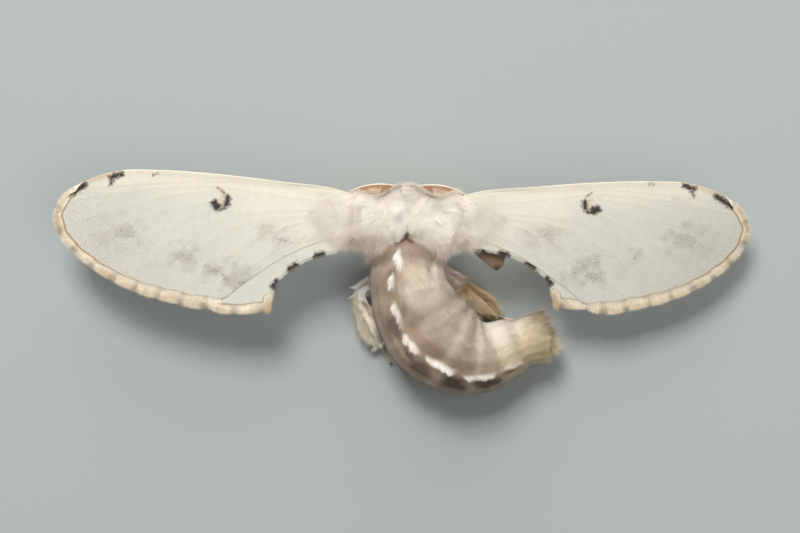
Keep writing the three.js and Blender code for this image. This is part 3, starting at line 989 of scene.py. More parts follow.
@dataclass
class BodySkin:
    """One skin for all the flesh, with what the coat needs to know at each of its vertices."""

    body: BodyFrame
    line: AbdomenLine
    voxel: float = 0.12
    swell: float = 0.06

    def flesh(self) -> dict[str, str]:
        """The nodes that the skin stands for, each with the rule that its coat follows."""
        found = {"thorax": "thorax", "collar": "collar", "head": "head", "tail_tuft": "tail"}
        for node in frame["nodes"]:
            if node.startswith("abdomen"):
                found[node] = "abdomen"
            if node.startswith(("tegula", "palp")):
                found[node] = node.split("_")[0]
            for piece in LEG_PIECES[:3]:
                if f"_{piece}_" in node:
                    found[node] = "hind_tibia" if node.startswith("hind_tibia") else piece
        return found

    def build(self) -> Object:
        """Makes the skin.

        Returns:
            The skin, with its coat's values on it.
        """
        flesh = self.flesh() | {f"eye_{side.word}": "eye" for side in Side}
        joined = bmesh.new()
        owner = []
        for node in flesh:
            joined.from_mesh(frame["nodes"][node].data)
            owner += [node] * (len(joined.faces) - len(owner))
        bmesh.ops.remove_doubles(joined, verts=joined.verts, dist=1e-4 * MM)
        nearest = BVHTree.FromBMesh(joined)
        blank = bpy.data.meshes.new("flesh")
        joined.to_mesh(blank)
        joined.free()
        skin = new_object("body_skin", blank)
        grown = skin.modifiers.new("swell", "DISPLACE")
        grown.strength = self.swell * MM
        grown.mid_level = 0
        whole = skin.modifiers.new("join", "REMESH")
        whole.mode = "VOXEL"
        whole.voxel_size = self.voxel * MM
        bpy.context.view_layer.update()
        mesh = bpy.data.meshes.new_from_object(skin.evaluated_get(bpy.context.evaluated_depsgraph_get()))
        skin.modifiers.clear()
        skin.data = mesh
        mesh.polygons.foreach_set("use_smooth", np.ones(len(mesh.polygons), bool))
        hits = [nearest.find_nearest(Vector(p))[2] for p in positions(mesh)]
        nodes = np.array(owner)[hits]
        kinds = np.array([flesh[node] for node in nodes])
        links = np.empty(len(mesh.edges) * 2, np.int32)
        mesh.edges.foreach_get("vertices", links)
        self.links = links.reshape(-1, 2)
        trunk = self._trunk(mesh, kinds)
        self._fill(mesh, trunk)
        self._sink(mesh, kinds, trunk)
        drawn_in = self._relax((kinds == "palp")[:, None] * 0.32, 5)
        move_vertices(mesh, positions(mesh) + drawn_in * (0, MM, -0.2 * MM))
        self._mark(mesh, kinds, nodes)
        return skin

    def _trunk(self, mesh: Mesh, kinds: Rows) -> Rows:
        """How much each place belongs to the rounded chest, where creases between its parts are filled."""
        points = self.body.into(positions(mesh))
        along = self.line.read(points)[0]
        share = np.isin(kinds, CHEST_KINDS) + (kinds == "head") * smooth(-2.05, -1.5, points[:, 1])
        share = share + (kinds == "abdomen") * smooth(2.2, 1.2, along)
        return self._relax((share * smooth(2.8, 3.8, points[:, 2]))[:, None], 8)

    def _fill(self, mesh: Mesh, trunk: Rows, rounds: int = 180) -> None:
        """Fills creases: each vertex moves towards its neighbours' mean, but never inwards."""
        points = positions(mesh)
        for turn in range(rounds):
            if turn % 6 == 0:
                move_vertices(mesh, points)
                face = normals(mesh)
            step = self._relax(points, 1) - points
            inward = np.minimum((step * face).sum(1, keepdims=True), 0)
            points = points + trunk * (step - inward * face)
        move_vertices(mesh, self._relax(points, 40, 0.5 * trunk))

    def _sink(self, mesh: Mesh, kinds: Rows, trunk: Rows) -> None:
        """Moves the skin inwards by the coat's depth, less where the flesh is thin, and evens it out."""
        solid = bmesh.new()
        solid.from_mesh(mesh)
        tree = BVHTree.FromBMesh(solid)
        solid.free()
        rays = zip(positions(mesh), normals(mesh))
        through = [tree.ray_cast(Vector(p - 0.02 * MM * n), Vector(-n))[3] or 9 * MM for p, n in rays]
        depth = np.array([RULES[kind].depth for kind in kinds]) + self.swell
        depth = np.minimum(depth, 0.3 * self._relax(np.array(through)[:, None] / MM, 3)[:, 0])
        depth = self._relax(depth[:, None], 16) * MM
        steps = 8
        for _ in range(steps):
            points = positions(mesh) - normals(mesh) * depth / steps
            for share in (0.5, -0.51) * 6:
                points = self._relax(points, 1, share)
            move_vertices(mesh, self._relax(points, 3, 0.5 * trunk))

    def _relax(self, values: Rows, rounds: int, share: float | Rows = 0.5) -> Rows:
        """Evens out values over the skin.

        Args:
            values: One row for each vertex.
            rounds: How many times it is done.
            share: How far each vertex moves towards its neighbours' mean.

        Returns:
            The evened rows.
        """
        ends = np.concatenate([self.links[:, 0], self.links[:, 1]])
        others = np.concatenate([self.links[:, 1], self.links[:, 0]])
        count = np.maximum(np.bincount(ends, minlength=len(values)), 1)[:, None]
        for _ in range(rounds):
            total = [np.bincount(ends, column[others], len(values)) for column in values.T]
            values = values + share * (np.stack(total, axis=1) / count - values)
        return values

    def _mark(self, mesh: Mesh, kinds: Rows, nodes: Rows) -> None:
        """Writes the coat's values and colours on the skin.

        Args:
            mesh: The skin's mesh.
            kinds: Each vertex's rule.
            nodes: The node each vertex came from.
        """
        points = self.body.into(positions(mesh))
        face = normals(mesh)
        along, angle, radius, forward = self.line.read(points)
        self.kinds, self.nodes, self.points, self.along, self.forward = kinds, nodes, points, along, forward
        offset = angle * radius
        lie = self._lie(face, offset)
        tangent = unit(lie - face * (lie * face).sum(1, keepdims=True))
        rules = {k: (rule.length, math.radians(rule.stand), *shade(rule.colour)) for k, rule in RULES.items()}
        rules = self._relax(np.array([rules[kind] for kind in kinds]), 10)
        chest = np.isin(kinds, CHEST_KINDS)
        rear = np.isin(kinds, ("abdomen", "tail"))
        colour = np.where(rear[:, None], self._abdomen_colours(along, offset, points), rules[:, 2:])
        colour = self._chest_colours(points, chest, colour)
        leg = np.isin(kinds, LEG_KINDS)
        colour[leg] = self._leg_colours(colour)[leg]
        gap = self._crack(points)
        out, back, up = np.abs(points[:, 0]), points[:, 1], points[:, 2]
        skirt = smooth(0.4, 2.0, back) * smooth(0.9, 2.2, out) * chest
        waist = smooth(1.9, 0.8, along) * smooth(0.8, 2.0, out) * rear
        length = rules[:, 0] * (1 + 0.75 * skirt + 0.9 * waist)
        length = np.where(back < 2.3, np.minimum(length, 0.05 + 0.95 * gap), length)
        stand = rules[:, 1] + 0.12 * skirt + 0.25 * waist + 0.1 * self._parting(points)[1] * chest
        rim = smooth(-0.1, -0.7, face[:, 1]) * smooth(3.3, 3.9, up)
        stand = stand + 0.25 * rim * (kinds == "head")
        for side, ends in PLUMES.items():
            start, end = side.place(ends)
            share = (points - start) @ (end - start) / ((end - start) @ (end - start))
            grown = length * (0.3 + 0.7 * smooth(0.05, 0.5, share)) * (1 - 0.45 * smooth(0.55, 0.95, share))
            grown = grown * (1 + 0.35 * side.value * face[:, 0])
            length = np.where(nodes == f"hind_tibia_{side.word}", grown, length)
            knee_share = np.exp(-((np.linalg.norm(points - start - (0, -0.15, 0.1), axis=1) / 0.7) ** 2))
            length = length + (0.9 - length) * knee_share
            stand = stand + 0.5 * knee_share
        length = length * (1 + 0.12 * lattice(points, 0.7, 8) + 0.3 * chest * lattice(points, 0.2, 19))
        temple = (kinds == "head") * smooth(3.4, 3.9, up) * smooth(0.35, 0.8, out)
        length = length * (1 + 0.7 * temple)
        grain = np.column_stack([offset, 0.13 * along, 0 * along])
        flow = self._parting(points)[0]
        spread = np.hypot(flow[:, 0], flow[:, 1])
        fan = np.column_stack([np.arctan2(flow[:, 0], flow[:, 1]) * 3.0, 0.13 * spread, 0.5 * up])
        grain = np.where(rear[:, None], grain, np.where(chest[:, None], fan, 0.6 * points))
        store(mesh, coat_length=length, coat_stand=stand, coat_lie=unit(self._relax(tangent, 8)))
        store(mesh, coat_density=0 * along, patch=0 * along, grain=grain)
        store_tint(mesh, self._relax(colour, 1))
        self.density = np.array([RULES[kind].density for kind in kinds], float) * smooth(0.02, 0.12, gap)
        self.density *= 1 - 0.4 * smooth(0.0, -0.8, face[:, 2])
        beside = np.linalg.norm(np.abs(points * (1, 0, 0)) + points * (0, 1, 1) - Eye.centre(), axis=1)
        self.density = np.where(kinds == "eye", 900 * smooth(0.0, 0.08, beside - Eye.radius), self.density)
        self.crest = np.max([spot.share(along, offset, lattice(points, 0.25, 9)) for spot in CREST], axis=0)
        self.crest = self.crest * rear * smooth(1.0, 1.5, up)

    def _parting(self, points: Rows) -> tuple[Rows, Rows]:
        """Which way the chest's hair runs from its parting, and how near the parting is, from 0 to 1."""
        back, height = PARTING
        line = np.full(points.shape, height)
        line[:, 0] = 0.85 * np.clip(points[:, 0], -1.6, 1.0)
        line[:, 1] = back + 0.35 * lattice(points * (1, 0, 0), 0.9, 17)
        flow = points - line
        near = np.exp(-((np.hypot(flow[:, 0], flow[:, 1]) / 0.4) ** 2))
        stray = np.column_stack([lattice(points, 0.3, seed) for seed in (51, 52, 53)])
        return unit(flow) + 0.3 * near[:, None] * stray, near

    def _crack(self, points: Rows) -> Rows:
        """How far each place is from the bare Y-shaped seam between chest and abdomen."""
        gap = np.min([trace(points[:, :2], np.array((a, b)))[0] + 0.1 - half for a, b, half in CRACK], axis=0)
        return np.where(points[:, 2] > 3.6, gap, 9.0)

    def _lie(self, face: Rows, offset: Rows) -> Rows:
        """Which way the coat lies.

        Args:
            face: The skin's normals.
            offset: Each vertex's distance round the abdomen from the middle of the back.

        Returns:
            One direction for each vertex, not yet flat on the skin.
        """
        points, kinds, nodes, forward = self.points, self.kinds, self.nodes, self.forward
        around = np.cross(face, forward)
        lie = forward - 0.22 * np.clip(offset, -1, 1)[:, None] * around
        chest = np.isin(kinds, CHEST_KINDS)
        stray = np.column_stack([lattice(points, 0.45, seed) for seed in (61, 62, 63)])
        swept = self._parting(points)[0] + 0.12 * stray
        lie[chest] = swept[chest]
        face_lie = unit(points * (0.7, 0, 0) + (0, -0.25, -1))
        brow = smooth(3.5, 4.0, points[:, 2])[:, None]
        lie[kinds == "head"] = (face_lie * (1 - brow) + swept * brow)[kinds == "head"]
        lie[kinds == "palp"] = (0, -0.4, -1)
        mirror = np.where(points[:, :1] < 0, -1, 1) * np.array([1, 0, 0]) + np.array([0, 1, 1])
        lie[kinds == "eye"] = (points - mirror * Eye.centre())[kinds == "eye"]
        for node in np.unique(nodes):
            pair, *rest = node.split("_")
            if pair in LEG_PAIRS:
                after = f"{pair}_{LEG_PIECES[LEG_PIECES.index(rest[0]) + 1]}_{rest[1]}"
                here, there = ((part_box(n)[0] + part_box(n)[1]) / 2 for n in (node, after))
                lie[nodes == node] = np.array(there - here) / MM
        return unit(lie)

    def _chest_colours(self, points: Rows, chest: Rows, colour: Rows) -> Rows:
        """Turns the white chest pinkish at its rear, with grey smoke on its back, its dark bare seam and
        painted shade round the seam.
        """
        x, y, _ = points.T
        edge = y + 0.4 * np.exp(-((x / 1.6) ** 2)) + 0.3 * lattice(points, 0.8, 12)
        colour = blend(colour, ("#cbb7a4", 0.85 * smooth(0.7, 2.0, edge) * chest))
        for side, back, size in SMOKE:
            share = 0.42 * np.exp(-((np.hypot(x - side, y - back) / size) ** 2)) * chest
            colour = blend(colour, ("#8f8a86", share))
        gap = self._crack(points) + 0.04 * lattice(points, 0.15, 13)
        # Painted shade in the crease round the seam (#9a7c68), then the bare seam's own dark cuticle
        # (#3c1d12).
        return blend(colour, ("#9a7c68", 0.6 * smooth(0.5, 0.12, gap)), ("#3c1d12", smooth(0.17, 0.07, gap)))

    def _leg_colours(self, colour: Rows) -> Rows:
        """The legs' own colours: the left hind leg greyer at its knee, the right one pinker."""
        colour = colour.copy()
        for node, shown in LEG_COLOURS.items():
            colour[self.nodes == node] = shade(shown)
        colour = self._relax(colour, 4)
        return blend(colour, ("#a8916e", 0.2 * smooth(-0.2, 0.8, lattice(self.points, 0.5, 15))))

    def _abdomen_colours(self, along: Rows, offset: Rows, points: Rows) -> Rows:
        """The abdomen's markings, and painted shade: darker segment ends, the crest's shadow outside it and a
        band on its inner side.

        Args:
            along: Each vertex's distance along the axis.
            offset: Its distance round the abdomen from the middle of the back.
            points: The vertices in the body's frame.

        Returns:
            Each vertex's colour.
        """
        cloud = lattice(points, 1.3, 3) + 0.5 * lattice(points, 0.5, 4)
        ragged = lattice(points, 0.45, 5) + 0.5 * lattice(points, 0.2, 6)
        inner = smooth(-0.7, -2.8, offset + 0.3 * ragged)
        saddle = np.exp(-(((along - 3.2) / 1.15) ** 2)) * smooth(0.3, -0.9, offset + 0.4 * ragged)
        colour = blend(
            shade("#ab9681"),
            ("#937f6b", 0.5 * smooth(-0.2, 1.2, cloud)),
            ("#cfbc9f", 0.9 * smooth(9.8, 13.6, along - 0.5 * offset)),
            ("#b1a08b", inner),
            ("#e0d0bb", 0.95 * saddle),
            ("#cfc5b5", inner * smooth(9.2, 13.0, along)),
            ("#b5a493", smooth(1.3, 2.4, offset)),
        )
        # Each segment darkens towards its rear end: painted shade at the step to the next segment.
        place = np.interp(along, SEGMENT_ENDS, np.arange(len(SEGMENT_ENDS)))
        colour = colour * (1.04 - 0.09 * (place % 1) ** 2)[:, None]
        # The patches include painted shade: the crest's shadow on the outer side and a band on the inner
        # side.
        colour = blend(colour, *((spot.colour, spot.share(along, offset, ragged)) for spot in PATCHES))
        last = self.line.length
        cream = smooth(last - 4.0, last - 2.4, along) * smooth(-3.4, -1.6, offset)
        outer = smooth(0.2, 1.2, offset) * smooth(last - 3.4, last - 2.4, along)
        middle = np.exp(-(((offset + 0.7) / 0.7) ** 2))
        cap = smooth(last - 2.5, last - 1.6, along + 0.3 * ragged - 1.2 * middle)
        brown = blend(shade("#947d60"), ("#e0cda9", smooth(-1.2, 0.6, offset)))
        colour = blend(colour, ("#d0be9d", 0.8 * cream), ("#dccbaa", 0.8 * outer), (brown, 0.92 * cap))
        return blend(colour, *((spot.colour, spot.share(along, offset, ragged)) for spot in CREST))


@dataclass
class BodyCoat:
    """The body's hair, in pieces small enough to handle."""

    skin: BodySkin

    def build(self, surface: Object) -> None:
        """Grows every piece of the body's coat.

        Args:
            surface: The finished skin.
        """
        fluff = HairFinish("long hollow chest hair", roughness=0.6, sheen=0.3, root_shade=0.95, mottle=0.02)
        flat = HairFinish("flat abdomen hair", mottle=0.05, mottle_size=0.35, root_shade=0.88)
        brush = HairFinish("leg and tail brush hair", mottle=0.05, mottle_size=0.4, root_shade=0.9)
        skin = self.skin
        belly = skin.kinds == "abdomen"
        chest = np.isin(skin.kinds, CHEST_KINDS)
        leg = np.isin(skin.kinds, LEG_KINDS)
        hind = np.array([node.startswith("hind") for node in skin.nodes])
        ahead = skin.points[:, 1] < -0.4
        left = skin.points[:, 0] > 0.0
        soft = {"width": 0.025, "joints": 1, "tousle": 0.1, "clump": 0.025, "tone": 0.03, "uneven": 0.35}
        sleek = {"width": 0.032, "joints": 1, "tousle": 0.06, "clump": 0.06, "tone": 0.15}
        shaggy = {"width": 0.032, "joints": 1, "tousle": 0.1, "clump": 0.07, "clump_size": 0.3, "tone": 0.14}
        loose = {"width": 0.034, "tousle": 0.08, "clump": 0.07, "tone": 0.15}
        shares = [
            ("chest_left", "ruff", chest & ~ahead & left, fluff, soft),
            ("chest_right", "ruff", chest & ~ahead & ~left, fluff, soft),
            ("ruff_left", "ruff", chest & ahead & left, fluff, soft),
            ("ruff_right", "ruff", chest & ahead & ~left, fluff, soft),
            ("face", "head", np.isin(skin.kinds, ("head", "palp", "eye")), fluff, soft | {"bend": 0.2}),
            ("tail", "tail", skin.kinds == "tail", brush, loose),
            ("hind_legs", "leg", leg & hind, brush, shaggy),
            ("other_legs", "leg", leg & ~hind, brush, shaggy),
        ]
        cuts = (-9, 3.2, 6.4, 9.6, 99)
        for number, (low, high) in enumerate(zip(cuts[:-1], cuts[1:]), 1):
            part = belly & (skin.along >= low) & (skin.along < high)
            shares.append((f"belly_{number}", "abdomen", part, flat, sleek))
        for name, slot, share, finish, settings in shares:
            store(surface.data, coat_density=np.where(share, skin.density, 0.0))
            settle(Coat(name, **settings).grow(f"coat_{name}", surface, finish.material()), slot)
        self._crest(surface)

    def _crest(self, surface: Object) -> None:
        """Grows the white-tipped tufts on the abdomen's back, whose ragged ends overhang its outer side."""
        skin, mesh = self.skin, surface.data
        tufted = surface.copy()
        tufted.data = mesh.copy()
        around = np.cross(normals(mesh), skin.forward)
        ragged = 0.5 + 0.5 * lattice(skin.points, 0.16, 41)
        store(
            tufted.data,
            coat_density=1700 * smooth(0.2, 0.6, skin.crest),
            coat_length=(0.3 + 0.4 * ragged) * (0.5 + 0.5 * skin.crest),
            coat_stand=0.16 + 0.3 * skin.crest,
            coat_lie=unit(skin.forward - 0.7 * around),
            patch=0.9 * smooth(14.5, 12.5, skin.along) * smooth(0.1, 0.7, skin.crest),
        )
        finish = HairFinish(
            "white-tipped crest hair", root_shade=0.8, mottle=0.12, mottle_size=0.25, tip_colour="#fffaf0"
        )
        coat = Coat("crest", 0.03, joints=1, tousle=0.2, clump=0.25, clump_size=0.2, tone=0.12, seed=SEED + 9)
        settle(coat.grow("coat_crest", tufted, finish.material()), "abdomen")
        bpy.data.objects.remove(tufted)


# ---------------------------------------------------------------- wings


@dataclass(frozen=True)
class Pose:
    """How a wing is held, in degrees and millimetres."""

    sweep: float
    pitch: float
    droop: float
    turn: float = 0.0
    slide: float = 0.0


@dataclass(frozen=True)
class Mark:
    """A mark on a wing: a stroke from one place to another as (out, back), with its half width."""

    start: tuple[float, float]
    end: tuple[float, float]
    half_width: float


@dataclass(frozen=True)
class WingPlan:
    """A wing's outline, veins and markings, all as (out, back) on the flat wing."""

    front: tuple
    rear: tuple
    veins: tuple
    fringe_from: float  # how far out the rear edge's fringe begins
    fringe_to: float  # how far out the front edge's fringe ends
    fringe: tuple[float, float]  # its width at the rear corner and at the tip
    scallops: float
    ground: tuple[str, str] = ("#dbd5c5", "#c9c7bc")  # its colour near the body and further out
    relief: float = 1.0
    below: float = 0.0
    hang: float = 0.0  # how far its rear hangs down from its front
    spans: int = 240
    chords: int = 80


ROOT = np.array((2.4, -0.8))
ROOT_HEIGHT = 6.0
REACH = 22.0
HIND_CORNER = np.array((9.5, 6.5))  # the hindwings' rear corner, where their fringe turns
POSES = {Side.LEFT: Pose(1.0, 7, 0.9), Side.RIGHT: Pose(1.7, 14, 2.8)}
TUCKS = {Side.LEFT: Pose(1.0, 7, 0.9), Side.RIGHT: Pose(1.7, 14, 2.8, 4, 0.6)}
FOREWING = WingPlan(
    front=(
        (2.2, -0.75), (5.3, -1.72), (8.3, -2.1), (11.0, -2.45), (13.8, -2.75), (17.0, -2.97), (19.8, -2.95),
        (22.2, -2.25), (23.8, -1.15), (24.4, -0.1),
    ),
    rear=(
        (2.2, 1.2), (6.0, 2.05), (8.8, 3.3), (11.2, 4.9), (13.6, 6.5), (16.6, 6.05), (19.6, 5.05),
        (22.3, 3.4), (24.0, 1.6), (24.44, 0.3),
    ),
    veins=(
        ((2.2, -0.9), (8, -1.75), (13.4, -2.2), (22.4, -1.8)),
        ((2.2, -0.5), (8, -1.1), (13.4, -1.85), (18.6, -1.6), (23.5, -0.85)),
        ((12.5, -1.6), (16.5, -1.2), (20, -0.3), (23.3, 0.75)),
        ((12.9, -0.9), (16.5, -0.2), (19.6, 0.8), (22.7, 2.1)),
        ((12.9, -0.5), (15.5, 0.5), (18.5, 2.0), (21.6, 3.3)),
        ((2.2, -0.3), (7, -0.2), (11.5, 0.1), (14.5, 1.1), (20.0, 4.1)),
        ((2.2, -0.2), (7, 0.2), (10.8, 0.6), (14.0, 2.2), (18.0, 5.0)),
        ((2.2, 0.0), (6.5, 0.5), (10.1, 1.6), (13.4, 3.8), (15.8, 5.5)),
        ((2.2, 0.5), (6.2, 1.3), (9.5, 2.9), (13.2, 5.4)),
    ),
    fringe_from=12.4,
    fringe_to=22.4,
    fringe=(0.74, 0.46),
    scallops=10.5,
)
HINDWING = WingPlan(
    front=(
        (2.2, -0.3), (5.0, 0.3), (7.6, 1.1), (9.4, 1.9), (10.6, 2.6), (12.0, 3.5), (13.5, 4.4), (14.4, 5.4),
    ),
    rear=(
        (2.2, 2.1), (5.2, 2.75), (7.3, 3.45), (9.15, 4.95), (9.42, 6.3), (9.5, 6.68), (9.95, 6.76),
        (11.2, 6.9), (13.0, 6.85), (14.2, 6.3),
    ),
    veins=(((2.2, 1.4), (6.5, 2.5), (9.9, 5.0)), ((2.2, 0.9), (7.0, 2.0), (11.4, 5.6))),
    fringe_from=9.3,
    fringe_to=14.0,
    fringe=(0.55, 0.5),
    scallops=4.0,
    ground=("#d3cfc0", "#cbcabe"),
    relief=0.3,
    below=0.03,
    spans=150,
    chords=50,
)
# The right hindwing's inner lobe, folded under so that its brown underside shows behind the wing.
FOLD = WingPlan(
    front=((4.3, 1.4), (5.1, 1.35), (5.9, 1.45), (6.6, 1.7), (7.2, 2.3)),
    rear=((4.8, 2.7), (5.3, 3.3), (5.9, 3.78), (6.55, 4.12), (7.05, 3.7)),
    veins=(((5.6, 2.3), (6.1, 3.5)),),
    fringe_from=4.8,
    fringe_to=6.8,
    fringe=(0.01, 0.01),
    scallops=2.0,
    ground=("#5c4737", "#78614b"),
    below=0.07,
    hang=0.4,
    spans=40,
    chords=30,
)
FOLD_TIP = (Mark((6.5, 3.72), (6.72, 3.78), 0.18),)
INK = {
    Side.LEFT: (
        Mark((13.25, -0.62), (13.1, -0.4), 0.3), Mark((12.35, -1.02), (12.4, -0.62), 0.22),
        Mark((13.0, -0.25), (12.55, -0.35), 0.12), Mark((13.15, -1.75), (12.75, -1.5), 0.035),
        Mark((12.7, -1.5), (12.5, -1.2), 0.03), Mark((22.35, -1.95), (23.35, -1.35), 0.22),
        Mark((19.75, -2.72), (20.5, -2.45), 0.2), Mark((20.3, -2.3), (20.55, -1.95), 0.1),
        Mark((17.2, -2.75), (17.5, -2.6), 0.02), Mark((14.0, 3.7), (13.0, 4.15), -0.05),
        Mark((13.0, 4.15), (12.2, 4.85), -0.06), Mark((12.2, 4.85), (11.2, 4.9), -0.05),
        Mark((9.0, 1.85), (7.8, 2.1), -0.06), Mark((15.9, 2.6), (15.0, 3.3), -0.06),
        Mark((20.4, 0.9), (19.2, 1.6), -0.07),
    ),
    Side.RIGHT: (
        Mark((13.2, -0.78), (12.95, -0.68), 0.29), Mark((12.28, -1.25), (12.35, -0.85), 0.2),
        Mark((12.85, -0.5), (12.45, -0.6), 0.11), Mark((12.7, -1.9), (12.4, -1.6), 0.03),
        Mark((21.75, -2.15), (22.95, -1.5), 0.22), Mark((19.3, -2.8), (20.05, -2.6), 0.19),
        Mark((19.85, -2.4), (20.05, -2.1), 0.11), Mark((16.7, -2.8), (17.1, -2.75), 0.02),
        Mark((13.6, 2.9), (12.4, 3.4), -0.06), Mark((12.6, 3.6), (11.6, 3.95), -0.06),
        Mark((13.9, 4.35), (12.6, 4.0), -0.05), Mark((10.2, 1.1), (9.0, 1.45), -0.07),
        Mark((19.6, 0.6), (20.4, 1.2), -0.06), Mark((16.3, 2.2), (16.0, 2.6), -0.05),
    ),
}
OCHRE = (
    Mark((12.75, -1.5), (12.65, -0.75), 0.1), Mark((12.95, -0.95), (12.8, -0.5), 0.06),
    Mark((19.4, -2.9), (17.2, -2.95), -0.05), Mark((17.8, 2.0), (17.5, 2.2), -0.03),
    Mark((17.2, 4.1), (16.9, 4.3), -0.03),
)
CHEQUERS = (
    Mark((5.85, 2.92), (6.25, 3.05), 0.24),
    Mark((7.72, 3.68), (8.08, 3.96), 0.24),
    Mark((9.02, 4.85), (9.25, 5.15), 0.23),
)
SMUDGES = {
    Side.LEFT: (
        (20.0, 1.2, 1.1, 0.5), (19.4, 1.5, 0.6, 0.75), (20.9, 2.5, 1.0, 0.5), (15.5, 3.1, 0.7, 0.75),
        (14.9, 3.5, 0.9, 0.4), (13.4, 4.0, 0.6, 0.75), (11.5, 4.15, 0.9, 0.6), (12.2, 4.9, 0.6, 0.7),
        (9.5, 1.4, 0.6, 0.6), (8.3, 2.0, 0.7, 0.6), (17.2, 3.6, 0.8, 0.25),
    ),
    Side.RIGHT: (
        (19.4, 1.0, 0.9, 0.75), (20.2, 0.2, 0.9, 0.4), (21.0, 1.8, 0.9, 0.4), (16.2, 2.4, 0.5, 0.5),
        (13.2, 3.0, 0.7, 0.7), (12.1, 3.7, 0.8, 0.65), (13.3, 4.1, 0.6, 0.65), (9.8, 1.2, 0.8, 0.6),
        (8.7, 1.7, 0.7, 0.45), (15.4, 3.6, 0.9, 0.3),
    ),
}


def nearest_mark(flat: Rows, marks: tuple) -> Rows:
    """The distance to the nearest of some marks, negative inside it."""
    gaps = [trace(flat, np.array((mark.start, mark.end)))[0] - mark.half_width for mark in marks]
    return np.min([*gaps, np.full(len(flat), 5.0)], axis=0)


